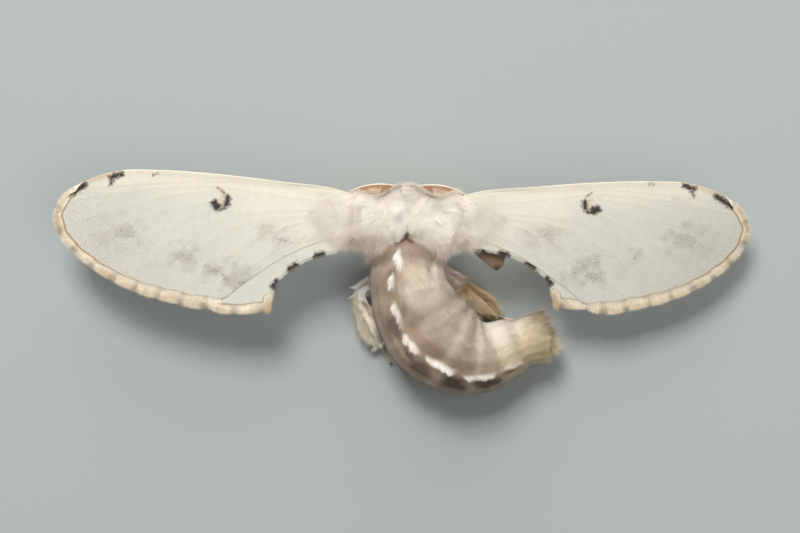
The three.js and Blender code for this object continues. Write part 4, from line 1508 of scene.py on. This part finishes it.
@dataclass
class Wing:
    """A wing: a thin veined membrane, pale scaled and marked."""

    side: Side
    body: BodyFrame
    plan: WingPlan
    pose: Pose
    ink: tuple
    fore: bool
    thickness: float = 0.075
    margin: float = 0.16  # the membrane ends this far inside the fringe's tips
    fold: float = 1.8  # how wide the soft fold between its flat front and its sloping rear is

    def __post_init__(self) -> None:
        """Works out the outline."""
        t = np.linspace(0, 1, self.plan.spans)
        self.front = smooth_curve(np.array(self.plan.front), t)
        self.rear = smooth_curve(np.array(self.plan.rear), t)
        start = int(np.argmax(self.rear[:, 0] > self.plan.fringe_from))
        stop = len(t) - int(np.argmax(self.front[:, 0] > self.plan.fringe_to))
        self.hem = np.vstack([self.rear[start:], self.front[: -stop - 1 : -1]])
        self.hem_length = float(np.linalg.norm(np.diff(self.hem, axis=0), axis=1).sum())

    def held(self, flat: Rows, lift: Rows | float = 0.0) -> Rows:
        """Where points of the flat wing go when it is held.

        Args:
            flat: Rows of out and back on the flat wing.
            lift: How far each point is above the wing's own plane.

        Returns:
            Rows in the body's frame.
        """
        turn = math.radians(-self.pose.turn)
        moved = flat - ROOT
        out = moved[:, 0] * math.cos(turn) - moved[:, 1] * math.sin(turn) + self.pose.slide
        back = moved[:, 0] * math.sin(turn) + moved[:, 1] * math.cos(turn)
        pitch, sweep = math.radians(self.pose.pitch), math.radians(self.pose.sweep)
        reach = np.maximum(out, 0)
        sink = self.pose.droop * (reach / REACH) ** 3
        behind = 0.5 * (back + np.hypot(back, self.fold)) - 0.25 * self.fold
        slope = 3 * self.pose.droop * reach**2 / REACH**3
        out = out - 0.3 * sink * slope
        chord = back * math.cos(pitch)
        x = ROOT[0] + out * math.cos(sweep) - chord * math.sin(sweep)
        y = ROOT[1] + out * math.sin(sweep) + chord * math.cos(sweep)
        dip = 0.9 * smooth(3.2, 2.2, flat[:, 0]) + self.plan.hang * smooth(1.5, 2.9, flat[:, 1])
        z = ROOT_HEIGHT - behind * math.sin(pitch) - sink - self.plan.below - dip + lift
        return np.column_stack([self.side.value * x, y, z])

    def fringe_width(self, run: Rows) -> Rows:
        """How wide the fringe is at distances along the hem."""
        share = run / self.hem_length
        wide, narrow = self.plan.fringe
        width = wide + (narrow - wide) * smooth(0.1, 0.75, share)
        wave = 1 + 0.05 * np.sin(2 * np.pi * self.plan.scallops * share)
        return width * wave * smooth(0.0, 0.08, share) * smooth(1.0, 0.93, share)

    def lobe(self, run: Rows) -> Rows:
        """How far the hem's scallops stand out at distances along it, from 0 to 1."""
        return np.abs(np.sin(np.pi * self.plan.scallops * run / self.hem_length)) ** 0.6

    def _edges(self) -> tuple[Rows, Rows]:
        """The membrane's front and rear edge, drawn in from the fringe's tips with a scalloped line."""
        edges = []
        for path, sign in ((self.front, -1), (self.rear, 1)):
            tangent = np.gradient(path, axis=0)
            away = unit(np.column_stack([-tangent[:, 1], tangent[:, 0]])) * sign
            gap, run = trace(path, self.hem)
            share = smooth(0.3, 0.0, gap) * smooth(0, 0.8, run)
            share = share * smooth(self.hem_length, self.hem_length - 0.8, run)
            edges.append(path - away * (share * (self.margin + 0.1 * (1 - self.lobe(run))))[:, None])
        return edges[0], edges[1]

    def build(self, name: str, material: Material) -> Object:
        """Makes the membrane.

        Args:
            name: Its name.
            material: Its finish.

        Returns:
            The membrane, with its markings on it.
        """
        front, rear = self._edges()
        spans, chords = self.plan.spans, self.plan.chords
        across = 0.45 * (0.5 - 0.5 * np.cos(np.linspace(0, np.pi, chords))) + 0.55 * np.linspace(0, 1, chords)
        share = across[None, :, None]
        flat = (front[:, None] * (1 - share) + rear[:, None] * share).reshape(-1, 2)
        chord = np.tile(across, spans)
        steps = np.linspace(0, 1, 14)
        veins = [smooth_curve(np.array(path, float), steps) for path in self.plan.veins]
        vein = np.min([trace(flat, path)[0] for path in veins], axis=0)
        rim, run = trace(flat, self.hem)
        inside = rim - self.fringe_width(run)
        edge = np.minimum(smooth(0, 0.06, chord), smooth(1, 0.94, chord))
        lift = 0.009 * np.exp(-((vein / 0.06) ** 2)) + 0.05 * np.exp(-((chord / 0.04) ** 2))
        lift = lift + (0.035 * lattice(flat, 2.4, 11) - 0.009 * smooth(0, 0.9, vein)) * edge
        lift *= self.plan.relief * (0.25 + 0.75 * smooth(2.5, 8.0, flat[:, 0]))
        half = self.thickness / 2 * (0.35 + 0.65 * smooth(-0.3, 0.1, inside))
        half = half * (0.4 + 0.6 * smooth(1, 0.97, chord))
        points = self.body.out(np.vstack([self.held(flat, lift + half), self.held(flat, lift - half)]))
        grid = np.arange(len(flat)).reshape(spans, chords)
        top = np.stack([grid[:-1, :-1], grid[1:, :-1], grid[1:, 1:], grid[:-1, 1:]], axis=-1).reshape(-1, 4)
        faces = np.vstack([top, top[:, ::-1] + len(flat)]).tolist()
        rim_line = np.concatenate([grid[:, 0], grid[-1, 1:], grid[-2::-1, -1], grid[0, -2:0:-1]])
        for here, there in zip(rim_line.tolist(), np.roll(rim_line, -1).tolist()):
            faces.append([there, here, here + len(flat), there + len(flat)])
        piece = mesh_object(name, points, faces, material)
        piece.data.polygons.foreach_set("use_smooth", np.arange(len(faces)) < 2 * len(top))
        vein, inside, run = (np.tile(values, 2) for values in (vein, inside, run))
        self._dress(piece.data, np.vstack([flat, flat]), vein, inside, run)
        return piece

    def _dress(self, mesh: Mesh, flat: Rows, vein: Rows, inside: Rows, run: Rows) -> None:
        """Writes the wing's colours on the membrane.

        Args:
            mesh: The membrane.
            flat: Rows of out and back for its vertices.
            vein: Each vertex's distance from a vein.
            inside: Its distance inwards from the brown line.
            run: How far along the hem its nearest place is.
        """
        colour, speckle = self._ground(flat, vein)
        hem = smooth(0.05, -0.1, inside)
        colour = blend(colour, ("#dccfba", hem), ("#9c8976", hem * 0.4 * self.notch(run, flat)))
        ochre = nearest_mark(flat, OCHRE if self.fore else ())
        if self.fore:
            costa = self.front[self.front[:, 0] > 20.2]
            ochre = np.minimum(ochre, trace(flat, costa)[0] - 0.13)
        store_tint(mesh, colour)
        line = np.abs(inside) - 0.03 - 0.03 * smooth(0.4, 0.75, run / self.hem_length)
        ink = nearest_mark(flat, self.ink)
        store(mesh, speckle=speckle * (1 - hem), ink=ink, line=line, ochre=ochre)
        lay_out(mesh, "chart", flat)

    def notch(self, run: Rows, flat: Rows) -> Rows:
        """How dark the fringe is at distances along the hem: it has a dark patch between its scallops."""
        phase = np.cos(2 * np.pi * self.plan.scallops * run / self.hem_length)
        return smooth(0.35, 0.95, phase + 0.35 * lattice(flat, 0.6, 5))

    def _ground(self, flat: Rows, vein: Rows) -> tuple[Rows, Rows]:
        """The wing's ground colour and how many dark scales it has.

        Args:
            flat: Rows of out and back.
            vein: Each place's distance from a vein.

        Returns:
            Colours and shares.
        """
        out, back = flat.T
        cloud = lattice(flat, 1.7, 21) + 0.4 * lattice(flat, 0.6, 22)
        near, far = (shade(name) for name in self.plan.ground)
        if not self.fore:
            return blend(near, (far, smooth(2.6, 3.6, back + 0.4 * cloud))), 0.1 + 0 * out
        colour = blend(
            near,
            (far, 0.85 * smooth(7, 16, out + 0.9 * back + 1.4 * cloud)),
            ("#dcd3bf", 0.85 * smooth(0.7, -1.7, back + 0.08 * out + 0.25 * cloud)),
            ("#d8bf92", 0.38 * np.exp(-((vein / 0.042) ** 2)) * smooth(6, 13, out)),
        )
        grey = smooth(16.0, 21.5, out + 0.3 * back + 1.2 * cloud) * smooth(-2.6, -1.2, back)
        speckle = 0.14 + 0.42 * grey
        streaks = lattice(flat @ np.array([[0.8, -0.6], [0.6, 0.8]]) * (1.0, 2.2), 0.3, 31)
        for centre_out, centre_back, size, strength in SMUDGES[self.side]:
            away = np.hypot((out - centre_out) * 0.75, back - centre_back) / (1.2 * size)
            share = strength * smooth(1.35, 0.0, away + 0.6 * lattice(flat, 0.5, 32) + 0.45 * streaks)
            colour = blend(colour, ("#9a9085", 0.32 * share))
            speckle = np.maximum(speckle, 1.15 * share)
        return colour, speckle


@dataclass
class WingHair:
    """Hair rooted on a small grid laid over a wing: its fringe, or the long hair over its base."""

    wing: Wing
    grid: Rows
    lie: Rows
    length: Rows
    tint: Rows
    density: Rows
    stand: float | Rows = 3.0
    lift: float = 0.0

    def grow(self, name: str, coat: Coat, material: Material, patch: Rows) -> Object:
        """Grows the hair.

        Args:
            name: The new piece's name.
            coat: What its strands are like.
            material: Their finish.
            patch: How dark each strand's tip is.

        Returns:
            The new piece.
        """
        rows, columns, _ = self.grid.shape
        flat = self.grid.reshape(-1, 2)
        here = self.wing.held(flat, self.lift)
        there = self.wing.held(flat + 0.05 * unit(self.lie.reshape(-1, 2)), self.lift)
        order = np.arange(rows * columns).reshape(rows, columns)
        faces = np.stack([order[:-1, :-1], order[:-1, 1:], order[1:, 1:], order[1:, :-1]], -1).reshape(-1, 4)
        pad = mesh_object(f"{name}_pad", self.wing.body.out(here), faces.tolist())
        if normals(pad.data)[:, 2].mean() < 0:
            pad.data.flip_normals()
        stand = np.radians(np.broadcast_to(self.stand, (rows, columns))).ravel()
        store(pad.data, coat_density=self.density.ravel(), coat_length=self.length.ravel(), coat_stand=stand)
        store(pad.data, coat_lie=unit(there - here), patch=patch.ravel())
        store_tint(pad.data, self.tint.reshape(-1, 3))
        lay_out(pad.data, UV_NAME, (flat - flat.min(0)) / (np.ptp(flat, axis=0).max() * 1.02) + 0.01)
        piece = coat.grow(name, pad, material)
        bpy.data.objects.remove(pad)
        return piece


def grow_fringe(wing: Wing, name: str, material: Material) -> Object:
    """Grows the fringe along a wing's hem, in overlapping rows.

    Args:
        wing: The wing.
        name: The fringe's name.
        material: Its finish.

    Returns:
        The fringe.
    """
    path = wing.hem
    if not wing.fore:
        inner = (wing.rear[:, 0] > 4.6) & (wing.rear[:, 1] < wing.hem[0, 1])
        path = np.vstack([wing.rear[inner], wing.hem])
    run = trace(path, wing.hem)[1]
    tangent = np.gradient(path, axis=0)
    away = unit(np.column_stack([-tangent[:, 1], tangent[:, 0]]))
    depth = np.linspace(0.08, 1.0, 6)
    width = np.maximum(wing.fringe_width(run), 0.12)
    grid = path[:, None] - away[:, None] * (width[:, None] * depth)[..., None]
    slant = unit(away + 0.15 * unit(tangent))
    if not wing.fore:
        corner = smooth(1.0, 0.3, np.linalg.norm(path - HIND_CORNER, axis=1))[:, None]
        slant = unit(slant * (1 - corner) + corner * np.array((-0.25, 1.0)))
    lie = np.repeat(slant[:, None], len(depth), axis=1)
    reach = width[:, None] * depth + ((0.06 + 0.08 * wing.lobe(run)) * smooth(0.1, 0.4, width))[:, None]
    flat = grid.reshape(-1, 2)
    tint = blend(shade("#efe3cd"), ("#dac5a3", 0.45 + 0.5 * lattice(flat, 0.5, 33)))
    if not wing.fore:
        gap = np.linalg.norm(flat - HIND_CORNER, axis=1)
        dark = smooth(0.06, -0.02, nearest_mark(flat, wing.ink))
        pale = smooth(6.2, 5.2, flat[:, 1])
        tint = blend(tint, ("#dcd6c6", pale), ("#c3ab86", smooth(0.9, 0.3, gap)), ("#2a2018", dark))
        reach = np.maximum(reach, 0.14) + 0.12 * (smooth(0.6, 0.1, gap) + dark).reshape(reach.shape)
    notch = np.repeat(wing.notch(run, path)[:, None], len(depth), axis=1)
    density = np.full(reach.shape, 1100.0)
    hair = WingHair(wing, grid, lie, reach + 0.08, tint, density, stand=4.0)
    coat = Coat("fringe", 0.03, 0.4, 1, tousle=0.16, clump=0.1, bend=0.03, tone=0.2, seed=SEED + 3)
    return hair.grow(name, coat, material, (0.14 + 0.76 * notch) * (reach > 0.25))


def grow_base_hair(wing: Wing, name: str, material: Material) -> Object:
    """Grows the long hair that hides the joint between a forewing and the chest.

    Args:
        wing: The forewing.
        name: The hair's name.
        material: Its finish.

    Returns:
        The hair.
    """
    out = np.linspace(2.0, 8.2, 42)
    front = np.interp(out, wing.front[:, 0], wing.front[:, 1])
    rear = np.interp(out, wing.rear[:, 0], wing.rear[:, 1])
    across = np.linspace(0.06, 0.985, 28)
    back = front[:, None] * (1 - across) + rear[:, None] * across
    grid = np.stack([np.repeat(out[:, None], len(across), 1), back], axis=-1)
    lie = grid - np.array((0.6, -2.6))
    flat = grid.reshape(-1, 2)
    ragged = lattice(flat, 0.9, 35).reshape(back.shape)
    near = smooth(7.8, 3.4, out[:, None] + 0.5 * np.abs(back - 0.8) + 0.9 * ragged)
    rearward = smooth(0.1, 1.3, back - 0.12 * out[:, None]) * smooth(6.0, 4.0, out)[:, None]
    tint = blend(shade("#dcd3c1"), ("#f4ede0", near.ravel()), ("#d3c1ae", 0.8 * rearward.ravel()))
    length = 0.35 + 1.0 * near + 0.3 * rearward * near
    density = 1350 * near**1.3
    hair = WingHair(wing, grid, lie, length, tint, density, 5 + 9 * near**2, lift=wing.thickness / 2)
    coat = Coat("base hair", 0.025, joints=1, tousle=0.1, clump=0.03, tone=0.03, uneven=0.45, seed=SEED + 5)
    return hair.grow(name, coat, material, 0 * length)


# ---------------------------------------------------------------- eyes, antennae, feet


@dataclass
class Eye:
    """A compound eye, set in the side of the head."""

    side: Side
    body: BodyFrame
    out: float = 1.2
    back: float = -1.3
    height: float = 3.38
    radius: float = 0.76

    @classmethod
    def centre(cls) -> Rows:
        """The left eye's middle."""
        return np.array([cls.out, cls.back, cls.height])

    def build(self, material: Material) -> Object:
        """Makes the eye.

        Args:
            material: Its finish.

        Returns:
            The eye.
        """
        ball = bmesh.new()
        bmesh.ops.create_icosphere(ball, subdivisions=5, radius=1.0)
        mesh = bpy.data.meshes.new(f"eye_{self.side.word}_ball")
        ball.to_mesh(mesh)
        ball.free()
        mesh.polygons.foreach_set("use_smooth", np.ones(len(mesh.polygons), bool))
        squash = np.array([0.95, 1.0, 1.06]) * self.radius
        centre = self.side.place((self.out, self.back, self.height))
        move_vertices(mesh, self.body.out(positions(mesh) * squash + centre))
        piece = new_object(mesh.name, mesh)
        mesh.materials.append(material)
        return piece


@dataclass
class Antenna:
    """A comb-like antenna: a pale scaled shaft with two rows of orange-brown side branches."""

    side: Side
    body: BodyFrame
    path: tuple = (
        (0.7, -1.68, 4.1), (1.4, -1.78, 4.6), (2.4, -1.74, 4.95), (3.4, -1.47, 5.05), (4.2, -1.0, 4.95),
        (4.85, -0.4, 4.75),
    )
    shaft: float = 0.06
    branches: int = 62
    branch_length: float = 1.0
    branch_width: float = 0.06
    rise: float = 0.36

    def _frames(self, at: Rows) -> tuple[Rows, Rows, Rows]:
        """The shaft's places, its direction and the way the branches hang."""
        path = self.side.place(self.path)
        centre = smooth_curve(path, at)
        step = smooth_curve(path, np.minimum(at + 1e-3, 1)) - smooth_curve(path, np.maximum(at - 1e-3, 0))
        forward = unit(step)
        across = unit(np.cross(forward, (0, 0, 1.0)))
        lean = unit(-0.55 * self.side.value * across + np.array([0, 0, -0.83]))
        return centre - lean * self.rise, forward, lean

    def build(self, shaft: Material, comb: Material) -> list[Object]:
        """Makes the shaft and its comb.

        Args:
            shaft: The shaft's finish.
            comb: The branches' finish.

        Returns:
            The two pieces.
        """
        rings, sides = 4 * self.branches, 8
        at = np.linspace(0, 1, rings)
        centre, forward, lean = self._frames(at)
        flat = np.cross(lean, forward)
        thick = self.shaft * (1 - 0.62 * at) * (1 + 0.22 * np.cos(2 * np.pi * self.branches * at))
        points = self.body.out(tube_points(centre, thick, lean, flat, sides))
        stem = mesh_object(f"antenna_{self.side.word}_shaft", points, tube_faces(rings, sides), shaft)
        return [stem, self._comb(comb)]

    def _comb(self, material: Material) -> Object:
        """The two rows of side branches, each a thin tapering blade that curves towards the antenna's tip."""
        at = np.linspace(0.1, 0.985, self.branches)
        centre, forward, lean = self._frames(at)
        flat = np.cross(lean, forward)
        points, faces = [], []
        steps = np.linspace(0, 1, 6)
        for spread, share in ((0.38, 1.0), (-0.5, 0.8)):
            for i, place in enumerate(at):
                full = math.sin(math.pi * min(1.0, 0.18 + 0.86 * place)) ** 0.6
                length = self.branch_length * max(full, 0.25) * share
                aim = unit(lean[i] + spread * flat[i] * self.side.value)
                curve = (length * 0.38 * steps**1.6)[:, None] * forward[i]
                line = centre[i] + (length * steps)[:, None] * aim + curve
                half = 0.5 * self.branch_width * (1 - 0.6 * steps)
                faces += tube_faces(len(steps), 3, len(points))
                points.extend(tube_points(line, half, forward[i], np.cross(aim, forward[i]), 3))
        name = f"antenna_{self.side.word}_comb"
        return mesh_object(name, self.body.out(np.array(points)), faces, material)


# Each foot's ankle and toe, as (out, back, up).
LEG_JOINTS = {
    "fore": dict.fromkeys(Side, ((2.75, -1.6, 0.55), (4.0, -1.25, 0.17))),
    "mid": dict.fromkeys(Side, ((4.2, 1.1, 0.55), (5.75, 1.45, 0.17))),
    "hind": {
        Side.LEFT: ((1.85, 9.2, 0.6), (0.95, 10.65, 0.17)),
        Side.RIGHT: ((6.3, 7.1, 0.6), (8.15, 7.55, 0.17)),
    },
}


@dataclass
class Foot:
    """A foot: five short joints in line and a pair of hooked claws."""

    pair: str
    side: Side
    body: BodyFrame
    radius: float = 0.15
    sides: int = 12
    steps: int = 60
    claw_length: float = 0.26

    def build(self, horn: Material, claw: Material) -> list[Object]:
        """Makes the foot and its claws.

        Args:
            horn: The foot's finish.
            claw: The claws' finish.

        Returns:
            The foot, then the claws.
        """
        ankle, toe = self.side.place(LEG_JOINTS[self.pair][self.side])
        heel = ankle * 0.7 + toe * 0.3
        heel[2] = toe[2] + 0.08
        path = np.array([ankle, heel, toe])
        at = np.linspace(0, 1, self.steps)
        centre = smooth_curve(path, at)
        forward = unit(np.gradient(centre, axis=0))
        across = unit(np.cross(forward, (0, 0, 1.0)))
        up = np.cross(across, forward)
        joint = np.abs(np.sin(np.pi * 5 * at)) ** 0.35
        thick = self.radius * (0.72 + 0.28 * joint) * (1 - 0.35 * at)
        centre[:, 2] = np.maximum(centre[:, 2], thick + 0.01)
        points = self.body.out(tube_points(centre, thick, across, up, self.sides))
        faces = tube_faces(self.steps, self.sides)
        foot = mesh_object(f"{self.pair}_foot_{self.side.word}", points, faces, horn)
        return [foot, self._claws(centre[-1], forward[-1], across[-1], claw)]

    def _claws(self, tip: Rows, forward: Rows, across: Rows, material: Material) -> Object:
        """The two hooked claws at the end of the foot.

        Args:
            tip: The foot's end.
            forward: Its direction.
            across: The direction across it.
            material: The claws' finish.

        Returns:
            The claws, one piece.
        """
        points, faces = [], []
        steps = np.linspace(0, 1, 7)
        for sign in (-1, 1):
            aim = unit(forward + 0.45 * sign * across)
            line = tip + (self.claw_length * steps)[:, None] * aim + 0.03 * sign * across
            line[:, 2] = np.maximum(tip[2] + 0.06 * np.sin(2.2 * steps) - 0.1 * steps**2, 0.03)
            half = 0.042 * (1 - 0.85 * steps)
            faces += tube_faces(len(steps), 6, len(points))
            points.extend(tube_points(line, half, np.cross(aim, (0, 0, 1.0)), np.array((0, 0, 1.0)), 6))
        name = f"{self.pair}_claws_{self.side.word}"
        return mesh_object(name, self.body.out(np.array(points)), faces, material)


# ---------------------------------------------------------------- stage


@dataclass
class Studio:
    """A pale floor, soft light from ahead of the moth, and a camera looking straight down on it."""

    body: BodyFrame
    floor_size: float = 0.6
    lens: float = 100.0
    sensor: float = 36.0
    frame_width: float = 55.56  # width of the view at the wings' height, in millimetres
    wing_height: float = 5.0
    aim_out: float = 0.396
    aim_back: float = 3.705
    roll: float = 0.9

    def build(self) -> None:
        """Makes the floor, the lights and the camera."""
        self._floor()
        bpy.context.scene.view_settings.view_transform = "Standard"
        self._light("key", (0.08, -0.25, 0.36), 0.16, 1.98)
        self._light("front", (0.0, -0.4, 0.13), 0.3, 1.0)
        self._light("fill", (-0.2, 0.1, 0.45), 0.4, 0.6)
        world = bpy.data.worlds.new("studio")
        bpy.context.scene.world = world
        world.use_nodes = True
        world.node_tree.nodes["Background"].inputs["Color"].default_value = linear("#e6e9ea")
        world.node_tree.nodes["Background"].inputs["Strength"].default_value = 0.27
        self._camera()

    def _floor(self) -> None:
        """A plain matt floor."""
        half = self.floor_size / 2
        points = np.array([(-half, -half, 0), (half, -half, 0), (half, half, 0), (-half, half, 0)])
        floor = mesh_object("floor", points, [[0, 1, 2, 3]])
        made = bpy.data.materials.new("matt pale paper")
        made.use_nodes = True
        shader = made.node_tree.nodes["Principled BSDF"]
        shader.inputs["Base Color"].default_value = linear("#9fa4a1")
        shader.inputs["Roughness"].default_value = 0.9
        floor.data.materials.append(made)

    def _light(self, name: str, place: tuple[float, float, float], size: float, power: float) -> None:
        """A soft square lamp that faces the moth.

        Args:
            name: Its name.
            place: Where it is, in metres.
            size: Its side, in metres.
            power: Its power in watts.
        """
        lamp = bpy.data.lights.new(name, "AREA")
        lamp.size = size
        lamp.energy = power
        holder = bpy.data.objects.new(name, lamp)
        holder.location = place
        holder.rotation_euler = (-Vector(place)).to_track_quat("-Z", "Y").to_euler()
        bpy.context.scene.collection.objects.link(holder)

    def _camera(self) -> None:
        """Looks straight down, with the head towards the top of the frame."""
        camera = bpy.data.cameras.new("camera")
        camera.lens = self.lens
        camera.sensor_width = self.sensor
        camera.clip_start = 0.005
        camera.clip_end = 5.0
        distance = self.frame_width * self.lens / self.sensor + self.wing_height
        holder = bpy.data.objects.new("camera", camera)
        spot = self.body.out(np.array([[self.aim_out, self.aim_back, distance]]))[0]
        roll = math.radians(180 + self.roll)
        holder.matrix_world = Matrix.Translation(Vector(spot)) @ Matrix.Rotation(roll, 4, "Z")
        bpy.context.scene.collection.objects.link(holder)
        bpy.context.scene.camera = holder


# ---------------------------------------------------------------- the moth


def clear_stage() -> None:
    """Removes what a new file holds besides the solid model."""
    kept = set(frame["nodes"].values()) | set(frame["bodies"].values())
    for thing in list(bpy.data.objects):
        if thing not in kept:
            bpy.data.objects.remove(thing)


def build_wings(body: BodyFrame) -> None:
    """Makes the four wings with their hair."""
    membrane = WingFinish().material()
    fringe = HairFinish("wing fringe scales", mottle=0.06, root_shade=0.97, tip_colour="#6f5a49").material()
    fluff = HairFinish("long wing base hair", 0.65, sheen=0.3, root_shade=0.95, mottle=0.02).material()
    for side in Side:
        fore = Wing(side, body, FOREWING, POSES[side], INK[side], fore=True)
        hind = Wing(side, body, HINDWING, TUCKS[side], CHEQUERS, fore=False)
        for wing, kind in ((fore, "forewing"), (hind, "hindwing")):
            node = f"{kind}_{side.word}"
            settle(wing.build(f"{node}_membrane", membrane), "wing", node)
            settle(grow_fringe(wing, f"{node}_fringe", fringe), "wing")
        settle(grow_base_hair(fore, f"wing_base_hair_{side.word}", fluff), "ruff")
    fold = Wing(Side.RIGHT, body, FOLD, POSES[Side.RIGHT], FOLD_TIP, fore=False)
    settle(fold.build("hindwing_right_fold", membrane), "wing")


def build_head_parts(body: BodyFrame) -> None:
    """Makes the eyes and the antennae."""
    cornea = EyeFinish().material()
    shaft = ChitinFinish("white-scaled antenna shaft", "#efe6d8", "#d9c9b2", roughness=0.6).material()
    comb = ChitinFinish("orange-brown antenna comb", "#f0c39b", "#d0956a", roughness=0.55).material()
    for side in Side:
        settle(Eye(side, body).build(cornea), "eye", f"eye_{side.word}")
        stem, branches = Antenna(side, body).build(shaft, comb)
        settle(stem, "antenna", f"antenna_{side.word}")
        settle(branches, "antenna")


def build_feet(body: BodyFrame) -> None:
    """Makes the six feet."""
    horn = ChitinFinish("pinkish foot cuticle", "#cbb6a0", "#a18a74").material()
    claw = ChitinFinish("dark claw horn", "#33241c", "#1d1512", roughness=0.3).material()
    for pair in LEG_PAIRS:
        for side in Side:
            foot, claws = Foot(pair, side, body).build(horn, claw)
            settle(foot, "foot", f"{pair}_tarsus_{side.word}")
            settle(claws, "foot")


def main() -> None:
    """Builds and dresses the whole moth, in order."""
    clear_stage()
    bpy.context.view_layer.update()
    body = BodyFrame()
    log.info("body frame at %.2f, %.2f mm", body.midline, body.middle)
    skin = BodySkin(body, AbdomenLine())
    surface = skin.build()
    unwrap(surface)
    log.info("skin unwrapped")
    BodyCoat(skin).build(surface)
    surface.data.materials.clear()
    surface.data.materials.append(DownFinish().material())
    settle(surface, "abdomen", *skin.flesh())
    build_wings(body)
    build_head_parts(body)
    build_feet(body)
    Studio(body).build()


if __name__ == "__main__":
    logging.basicConfig(level=logging.INFO, format="%(message)s")
    main()
